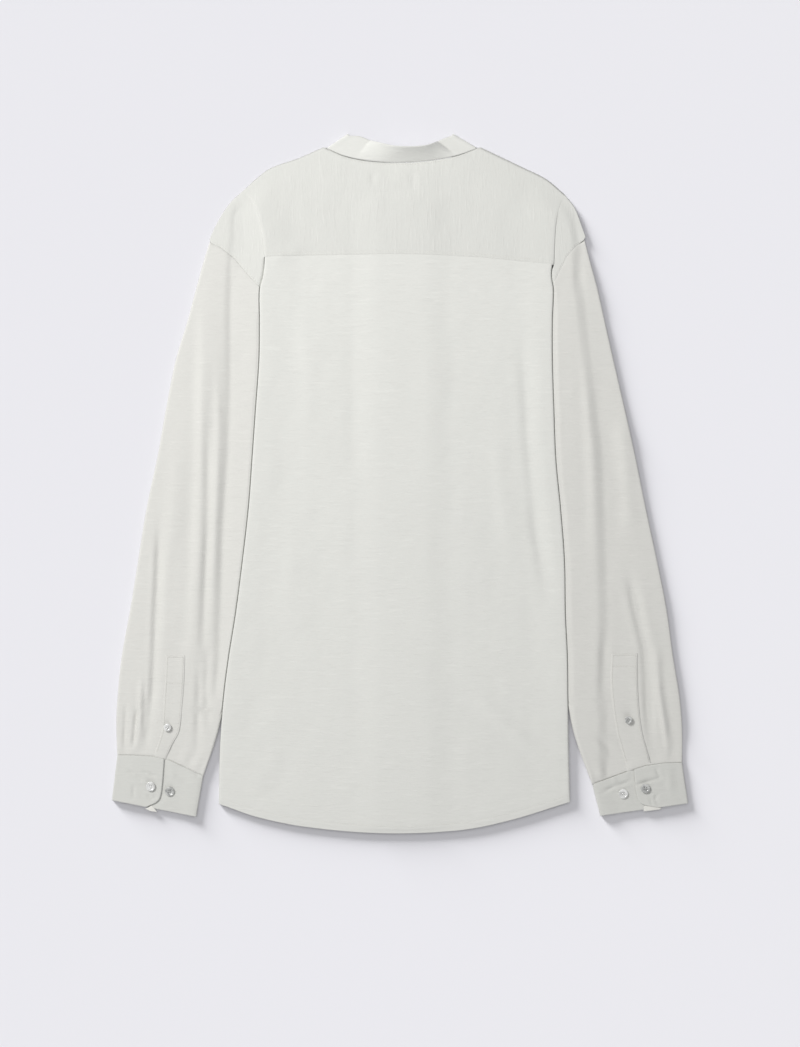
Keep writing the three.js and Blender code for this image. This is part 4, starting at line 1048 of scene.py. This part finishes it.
def button(name, centre, radius, thick, base, spin=0.0, down=False):
    """Four-hole shell button with a raised rim, a dished face and thread through its holes."""
    rings = np.array([0.12, 0.22, 0.3, 0.37, 0.44, 0.51, 0.58, 0.66, 0.72, 0.78, 0.85, 0.93, 0.985, 1.0]) * radius
    seg = 56
    ang = np.linspace(0, math.tau, seg, endpoint=False)
    rim = np.interp(rings / radius, [0, 0.58, 0.72, 0.86, 0.95, 1.0], [-0.62, -0.6, -0.1, 0.0, -0.12, -0.55])
    cx, cy = place(centre[0], centre[1], 0)[:2]
    holes = [(0.29 * radius * math.cos(spin + k * math.pi / 2), 0.29 * radius * math.sin(spin + k * math.pi / 2))
             for k in range(4)]
    points = [(cx, cy, base + thick - 0.62)]
    for r, dz in zip(rings, rim):
        for t in ang:
            x, y = r * math.cos(t), r * math.sin(t)
            pit = min(math.hypot(x - hx, y - hy) for hx, hy in holes) / (0.135 * radius)
            z = base + thick + dz - (0.9 if pit < 0.8 else 0.9 * max(0.0, 1.25 - pit) / 0.45 if pit < 1.25 else 0.0)
            points.append((cx + x, cy + y, z))
    lower = [(1.0, 0.45), (0.95, 0.12), (0.85, 0.0)]
    for r, z in lower:
        for t in ang:
            points.append((cx + r * radius * math.cos(t), cy + r * radius * math.sin(t), base + z))
    points.append((cx, cy, base))
    faces = [[0, 1 + j, 1 + (j + 1) % seg] for j in range(seg)]
    total = len(rings) + len(lower)
    for n in range(total - 1):
        for j in range(seg):
            a, b = 1 + n * seg + j, 1 + n * seg + (j + 1) % seg
            faces.append([a, a + seg, b + seg, b])
    last = 1 + (total - 1) * seg
    faces += [[last + j, len(points) - 1, last + (j + 1) % seg] for j in range(seg)]
    # Thread: two pairs of parallel strands between the holes.
    for a, b in ((0, 1), (2, 3)):
        for off in (-0.16, 0.16):
            (ax, ay), (bx, by) = holes[a], holes[b]
            d = np.array([bx - ax, by - ay, 0.0])
            d /= np.linalg.norm(d)
            side = np.array([-d[1], d[0], 0.0])
            first = len(points)
            for t, dz in ((0, -0.9), (0.12, -0.45), (0.5, -0.28), (0.88, -0.45), (1, -0.9)):
                c = np.array([cx, cy, 0]) + np.array([mix(ax, bx, t), mix(ay, by, t), base + thick + dz]) + side * off
                for k in range(6):
                    w = k * math.tau / 6
                    points.append(tuple(c + side * 0.17 * math.cos(w) + np.array([0, 0, 0.17 * math.sin(w)])))
            for n in range(4):
                for k in range(6):
                    k2 = (k + 1) % 6
                    p0 = first + n * 6
                    faces.append([p0 + k, p0 + 6 + k, p0 + 6 + k2, p0 + k2])
            faces.append([first + k for k in range(6)])
            faces.append([first + 24 + k for k in reversed(range(6))])
    if down:
        points = [(x, y, 2 * base + thick - z) for x, y, z in points]
        faces = [face[::-1] for face in faces]
    obj = new_object(name, points, faces)
    threads = len(faces) - 4 * 26
    for i, poly in enumerate(obj.data.polygons):
        poly.material_index = 1 if i >= threads else 0
    return obj


# Materials


def cloth_material(name, colour, streak, strength=1.0):
    """Slubby plain cotton: streak turns the thick threads along the X or Y axis."""
    mat = bpy.data.materials.new(name)
    mat.use_nodes = True
    nt = mat.node_tree
    bsdf = nt.nodes["Principled BSDF"]
    bsdf.inputs["Roughness"].default_value = 0.88
    bsdf.inputs["Specular IOR Level"].default_value = 0.25
    bsdf.inputs["Sheen Weight"].default_value = 0.18
    bsdf.inputs["Sheen Roughness"].default_value = 0.5
    coord = nt.nodes.new("ShaderNodeTexCoord")
    link = nt.links.new

    def noise(scale, stretch, detail, rough=0.5):
        m = nt.nodes.new("ShaderNodeMapping")
        m.inputs["Scale"].default_value = stretch
        link(coord.outputs["Object"], m.inputs["Vector"])
        n = nt.nodes.new("ShaderNodeTexNoise")
        n.inputs["Scale"].default_value = scale
        n.inputs["Detail"].default_value = detail
        n.inputs["Roughness"].default_value = rough
        link(m.outputs["Vector"], n.inputs["Vector"])
        return n.outputs["Fac"]

    def ramp(source, a, b, lo=0.0, hi=1.0):
        r = nt.nodes.new("ShaderNodeMapRange")
        r.inputs["From Min"].default_value = a
        r.inputs["From Max"].default_value = b
        r.inputs["To Min"].default_value = lo
        r.inputs["To Max"].default_value = hi
        link(source, r.inputs["Value"])
        return r.outputs["Result"]

    def blend(mode, fac, a, b):
        m = nt.nodes.new("ShaderNodeMix")
        m.data_type = "RGBA"
        m.blend_type = mode
        m.clamp_factor = True
        if isinstance(fac, float):
            m.inputs["Factor"].default_value = fac
        else:
            link(fac, m.inputs["Factor"])
        for socket, value in ((m.inputs["A"], a), (m.inputs["B"], b)):
            if isinstance(value, tuple):
                socket.default_value = value
            else:
                link(value, socket)
        return m.outputs["Result"]

    def math_node(op, a, b):
        m = nt.nodes.new("ShaderNodeMath")
        m.operation = op
        for socket, value in zip(m.inputs, (a, b)):
            if isinstance(value, float):
                socket.default_value = value
            else:
                link(value, socket)
        return m.outputs["Value"]

    long_x = (1.0, 8.0, 1.0) if streak == "X" else (8.0, 1.0, 1.0)
    fine_x = (1.0, 5.0, 1.0) if streak == "X" else (5.0, 1.0, 1.0)
    slub = ramp(noise(46.0, long_x, 3.0, 0.6), 0.55, 0.72)
    pale = ramp(noise(38.0, long_x, 2.0, 0.6), 0.56, 0.72)
    fine = noise(170.0, fine_x, 2.0, 0.6)
    cloud = noise(9.0, (1.0, 1.0, 1.0), 3.0)
    base = tuple(colour) + (1.0,)
    dark = tuple(c * 0.955 for c in colour) + (1.0,)
    darker = tuple(c * 0.94 for c in colour) + (1.0,)
    paler = tuple(min(1.0, c * 1.05) for c in colour) + (1.0,)
    c1 = blend("MIX", ramp(fine, 0.35, 0.7, 0.0, 0.6), base, dark)
    c2 = blend("MIX", math_node("MULTIPLY", slub, 0.42), c1, darker)
    c2 = blend("MIX", math_node("MULTIPLY", pale, 0.6), c2, paler)
    c3 = blend("MIX", ramp(cloud, 0.4, 0.75, 0.0, 0.3), c2, dark)
    link(c3, bsdf.inputs["Base Color"])
    weave_x = noise(900.0, (1.0, 0.35, 1.0), 1.0)
    weave_y = noise(900.0, (0.35, 1.0, 1.0), 1.0)
    height = math_node("ADD", math_node("MULTIPLY", slub, 0.9), math_node("MULTIPLY", fine, 0.6))
    height = math_node("ADD", height, math_node("MULTIPLY", pale, 0.9))
    height = math_node("ADD", height, math_node("MULTIPLY", math_node("ADD", weave_x, weave_y), 0.35))
    bump = nt.nodes.new("ShaderNodeBump")
    bump.inputs["Strength"].default_value = 0.35 * strength
    bump.inputs["Distance"].default_value = 0.0004
    link(height, bump.inputs["Height"])
    link(bump.outputs["Normal"], bsdf.inputs["Normal"])
    return mat


def srgb(r, g, b):
    out = []
    for c in (r, g, b):
        c /= 255
        out.append(c / 12.92 if c <= 0.04045 else ((c + 0.055) / 1.055) ** 2.4)
    return tuple(out)


def thread_material():
    mat = bpy.data.materials.new("sewing_thread")
    mat.use_nodes = True
    nt = mat.node_tree
    bsdf = nt.nodes["Principled BSDF"]
    bsdf.inputs["Roughness"].default_value = 0.7
    coord = nt.nodes.new("ShaderNodeTexCoord")
    noise = nt.nodes.new("ShaderNodeTexNoise")
    noise.inputs["Scale"].default_value = 700.0
    ramp = nt.nodes.new("ShaderNodeValToRGB")
    ramp.color_ramp.elements[0].color = srgb(214, 213, 207) + (1.0,)
    ramp.color_ramp.elements[1].color = srgb(236, 235, 230) + (1.0,)
    nt.links.new(coord.outputs["Object"], noise.inputs["Vector"])
    nt.links.new(noise.outputs["Fac"], ramp.inputs["Fac"])
    nt.links.new(ramp.outputs["Color"], bsdf.inputs["Base Color"])
    return mat


def pearl_material(name, dark, light, scale):
    """Shell button: clouded greys under a clear polish."""
    mat = bpy.data.materials.new(name)
    mat.use_nodes = True
    nt = mat.node_tree
    bsdf = nt.nodes["Principled BSDF"]
    bsdf.inputs["Roughness"].default_value = 0.22
    bsdf.inputs["Coat Weight"].default_value = 0.6
    bsdf.inputs["Coat Roughness"].default_value = 0.08
    coord = nt.nodes.new("ShaderNodeTexCoord")
    noise = nt.nodes.new("ShaderNodeTexNoise")
    noise.inputs["Scale"].default_value = scale
    noise.inputs["Detail"].default_value = 4.0
    noise.inputs["Distortion"].default_value = 1.2
    ramp = nt.nodes.new("ShaderNodeValToRGB")
    ramp.color_ramp.elements[0].position = 0.35
    ramp.color_ramp.elements[1].position = 0.66
    ramp.color_ramp.elements[0].color = srgb(*dark) + (1.0,)
    ramp.color_ramp.elements[1].color = srgb(*light) + (1.0,)
    bump = nt.nodes.new("ShaderNodeBump")
    bump.inputs["Strength"].default_value = 0.2
    bump.inputs["Distance"].default_value = 0.0003
    nt.links.new(coord.outputs["Object"], noise.inputs["Vector"])
    nt.links.new(noise.outputs["Fac"], ramp.inputs["Fac"])
    nt.links.new(ramp.outputs["Color"], bsdf.inputs["Base Color"])
    nt.links.new(noise.outputs["Fac"], bump.inputs["Height"])
    nt.links.new(bump.outputs["Normal"], bsdf.inputs["Normal"])
    return mat


CLOTH_MAT = cloth_material("cloth_slub_cotton", srgb(221, 221.5, 217), "X")
# The sleeves take the back's cotton in a darker colour: painted shade for the dimmer light on the sleeves.
SLEEVE_SHADED_MAT = cloth_material("sleeve_slub_cotton_painted_shade", srgb(216, 215.5, 211), "X")
# The cuffs take the back's cotton in a still darker colour: painted shade for the dimmer light on the cuffs.
CUFF_SHADED_MAT = cloth_material("cuff_slub_cotton_painted_shade", srgb(210, 210.5, 206), "X")
# The yoke's slubs run along Y; its colour, darker than the back's, is painted shade.
YOKE_SHADED_MAT = cloth_material("yoke_slub_cotton_painted_shade", srgb(216, 216.5, 212), "Y")
THREAD_MAT = thread_material()
PEARL = pearl_material("button_pearl_light", (196, 196, 194), (240, 241, 240), 190.0)
PEARL_GREY = pearl_material("button_pearl_grey", (148, 149, 148), (204, 205, 203), 160.0)


def keep(obj, mat, nodes, slot):
    obj.data.materials.clear()
    obj.data.materials.append(mat)
    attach(obj, "root")
    if nodes:
        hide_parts(*nodes)
    return obj


back = keep(make_back(), CLOTH_MAT, ["back"], "cloth")
yoke = keep(make_yoke(), YOKE_SHADED_MAT, ["yoke"], "yoke_cloth")
front_left = keep(make_front("left"), CLOTH_MAT, ["front_left"], "cloth")
front_right = keep(make_front("right"), CLOTH_MAT, ["front_right"], "cloth")
front_placket = keep(make_front_placket(), CLOTH_MAT, ["front_placket"], "cloth")
collar = keep(make_collar(), CLOTH_MAT, ["collar"], "cloth")
seams = keep(stitches("yoke_stitching", [
    (edge_run(YOKE_SEAM, 0, -1.3, lo=266, hi=552), lambda c, r: body_top(c, r) + 0.3),
    (edge_run(YOKE_SEAM, 0, -3.6, lo=266, hi=552), lambda c, r: body_top(c, r) + 0.3),
]), THREAD_MAT, [], "yoke_cloth")
neck_path = np.array(BACK_NECK, float) + [0, 1.7]
neck_seam = keep(stitches("neck_stitching", [
    (along(neck_path, 60)[3:-3], lambda c, r: yoke_top(c, r) + 0.3),
], pitch=2.6, length=1.9), THREAD_MAT, [], "yoke_cloth")
hem_stitch = keep(stitches("hem_stitching", [
    (edge_run(BACK_HEM, 0, -7.5, lo=221, hi=568), lambda c, r: body_top(c, r) + 0.3),
]), THREAD_MAT, [], "cloth")
sleeves, cuffs, plackets = {}, {}, {}


def add_button(name, node, centre, mat, spin, down=False):
    lo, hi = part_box(node)
    if centre is None:
        centre = (MID_COL + (500.0 * (lo[0] + hi[0]) - SHIFT_X) / SQUARE,
                  MID_ROW - (500.0 * (lo[1] + hi[1]) - SHIFT_Y) / SQUARE)
    obj = button(name, centre, 500.0 * (hi[0] - lo[0]), 1000.0 * (hi[2] - lo[2]), 1000.0 * lo[2], spin, down)
    keep(obj, mat, [node], "button")
    obj.data.materials.append(THREAD_MAT)
    return obj


band_rows = np.linspace(240, 815, 60)
band_seams = keep(stitches("front_placket_stitching", [
    (np.column_stack([band_rows * 0 + MID_COL + x / SQUARE, band_rows]),
     lambda c, r: PLACKET_MID - 0.5 * CLOTH - 0.02 + 0 * c) for x in (-12.0, 12.0)
], dip=-1.0), THREAD_MAT, [], "cloth")
front_buttons = [add_button(f"front_{k}_button", f"front_button_{k}", None, PEARL, 0.4 * k, True)
                 for k in range(1, 8)]
neck_button = add_button("neck_button", "collar_button", None, PEARL, 0.3, True)
for side in ("left", "right"):
    sleeves[side] = keep(make_sleeve(side), SLEEVE_SHADED_MAT, [f"sleeve_{side}"], "cloth")
    cuffs[side] = keep(make_cuff(side), CUFF_SHADED_MAT, [f"cuff_{side}"], "cloth")
    plackets[side] = keep(make_sleeve_placket(side), SLEEVE_SHADED_MAT, [f"sleeve_placket_{side}"], "cloth")

    keep(make_lap_corner(side), THREAD_MAT, [], "cloth")
    outer, inner = CUFF_BUTTONS[side]
    light, grey = (PEARL, PEARL_GREY) if side == "left" else (PEARL_GREY, PEARL)
    add_button(f"cuff_{side}_button", f"cuff_button_{side}", outer, light, 0.5)
    add_button(f"cuff_{side}_button_spare", f"cuff_button_spare_{side}", inner, grey, 0.9)
    add_button(f"placket_{side}_button", f"sleeve_button_{side}", PLACKET_BUTTONS[side],
               PEARL if side == "left" else PEARL_GREY, 0.2)
    table = PLACKET[side]
    rows = np.linspace(table[0, 0] + 2, table[-1, 0] - 7, 40)
    placket_runs = [
        (np.column_stack([read(table, rows, 1) + 2.0, rows]), lambda c, r, s=side: placket_top(s, c, r) + 0.38),
        (np.column_stack([read(table, rows, 2) - 2.0, rows]), lambda c, r, s=side: placket_top(s, c, r) + 0.38),
    ]
    for bar in (2.0, 28.0 if side == "left" else 13.0):
        at = table[0, 0] + bar
        ends = np.linspace(float(read(table, at, 1)) + 2, float(read(table, at, 2)) - 2, 8)
        placket_runs.append(
            (np.column_stack([ends, ends * 0 + at]), lambda c, r, s=side: placket_top(s, c, r) + 0.38))
    keep(stitches(f"placket_{side}_stitching", placket_runs, 2.4, 1.8), THREAD_MAT, [], "cloth")
    arm = armhole_line(side, -1.5, np.linspace(0.04, 0.8, 40))
    arm = arm[outside(side, arm[:, 0], arm[:, 1]) > 3.5]
    keep(stitches(f"armhole_{side}_stitching", [
        (arm, lambda c, r, s=side: strip_top(s, c, r) + 0.3),
    ]), THREAD_MAT, [], "cloth")


for side in ("left", "right"):
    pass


# Floor, light and camera

floor_mesh = bpy.data.meshes.new("table_top")
floor_mesh.from_pydata([(-4, -4, 0), (4, -4, 0), (4, 4, 0), (-4, 4, 0)], [], [(0, 1, 2, 3)])
floor = bpy.data.objects.new("table_top", floor_mesh)
bpy.context.scene.collection.objects.link(floor)
floor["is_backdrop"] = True
table_mat = bpy.data.materials.new("table_paint")
table_mat.use_nodes = True
table_bsdf = table_mat.node_tree.nodes["Principled BSDF"]
table_bsdf.inputs["Base Color"].default_value = srgb(213, 212.5, 216.5) + (1.0,)
table_bsdf.inputs["Roughness"].default_value = 0.9
table_bsdf.inputs["Specular IOR Level"].default_value = 0.1
floor.data.materials.append(table_mat)

world = bpy.data.worlds.new("room")
bpy.context.scene.world = world
world.use_nodes = True
world.node_tree.nodes["Background"].inputs["Color"].default_value = (0.985, 0.985, 1.0, 1.0)
world.node_tree.nodes["Background"].inputs["Strength"].default_value = 0.38
bpy.context.scene.view_settings.view_transform = "Standard"


def sun(name, azimuth, elevation, angle, energy, colour=(1.0, 1.0, 1.0)):
    """Soft light from a compass direction, 0 being +X and 90 being +Y."""
    data = bpy.data.lights.new(name, "SUN")
    data.angle = math.radians(angle)
    data.energy = energy
    data.color = colour
    obj = bpy.data.objects.new(name, data)
    obj.rotation_euler = (0, math.radians(90 - elevation), math.radians(azimuth))
    bpy.context.scene.collection.objects.link(obj)
    return obj


# The long soft shadow on the table comes from a low light that only the table takes, so that
# the cloth keeps the even light of the room.
table_only = bpy.data.collections.new("table_only")
table_only.objects.link(floor)
shirt_only = bpy.data.collections.new("shirt_only")
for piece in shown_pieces():
    shirt_only.objects.link(piece)

low_light = sun("low_light", 131, 10, 17, 10.2)
low_light.light_linking.receiver_collection = table_only
high_light = sun("high_light", 126, 72, 70, 1.0)
high_light.light_linking.receiver_collection = table_only

fill_light = sun("fill_light", -75, 22, 50, 0.9)
fill_light.light_linking.receiver_collection = shirt_only

key_data = bpy.data.lights.new("key", "AREA")
key_data.shape = "DISK"
key_data.size = 0.9
key_data.energy = 62.0
key_data.color = (1.0, 0.995, 0.98)
key = bpy.data.objects.new("key", key_data)
key.location = (-1.5, 1.25, 2.05)
key.rotation_euler = Vector((1.5, -1.25, -2.05)).to_track_quat("-Z", "Y").to_euler()
bpy.context.scene.collection.objects.link(key)
key.light_linking.receiver_collection = shirt_only

camera_data = bpy.data.cameras.new("camera")
camera = bpy.data.objects.new("camera", camera_data)
bpy.context.scene.collection.objects.link(camera)
bpy.context.scene.camera = camera
aim = place(400, 523.5, 0) / 1000
camera.location = (aim[0] + SHIFT_X / 1000, aim[1] + SHIFT_Y / 1000, 3.0)
camera.rotation_euler = (0, 0, 0)
camera_data.sensor_fit = "VERTICAL"
camera_data.sensor_height = 36.0
camera_data.lens = 36.0 * 3.0 / (1047 * SQUARE / 1000)
camera_data.clip_end = 20
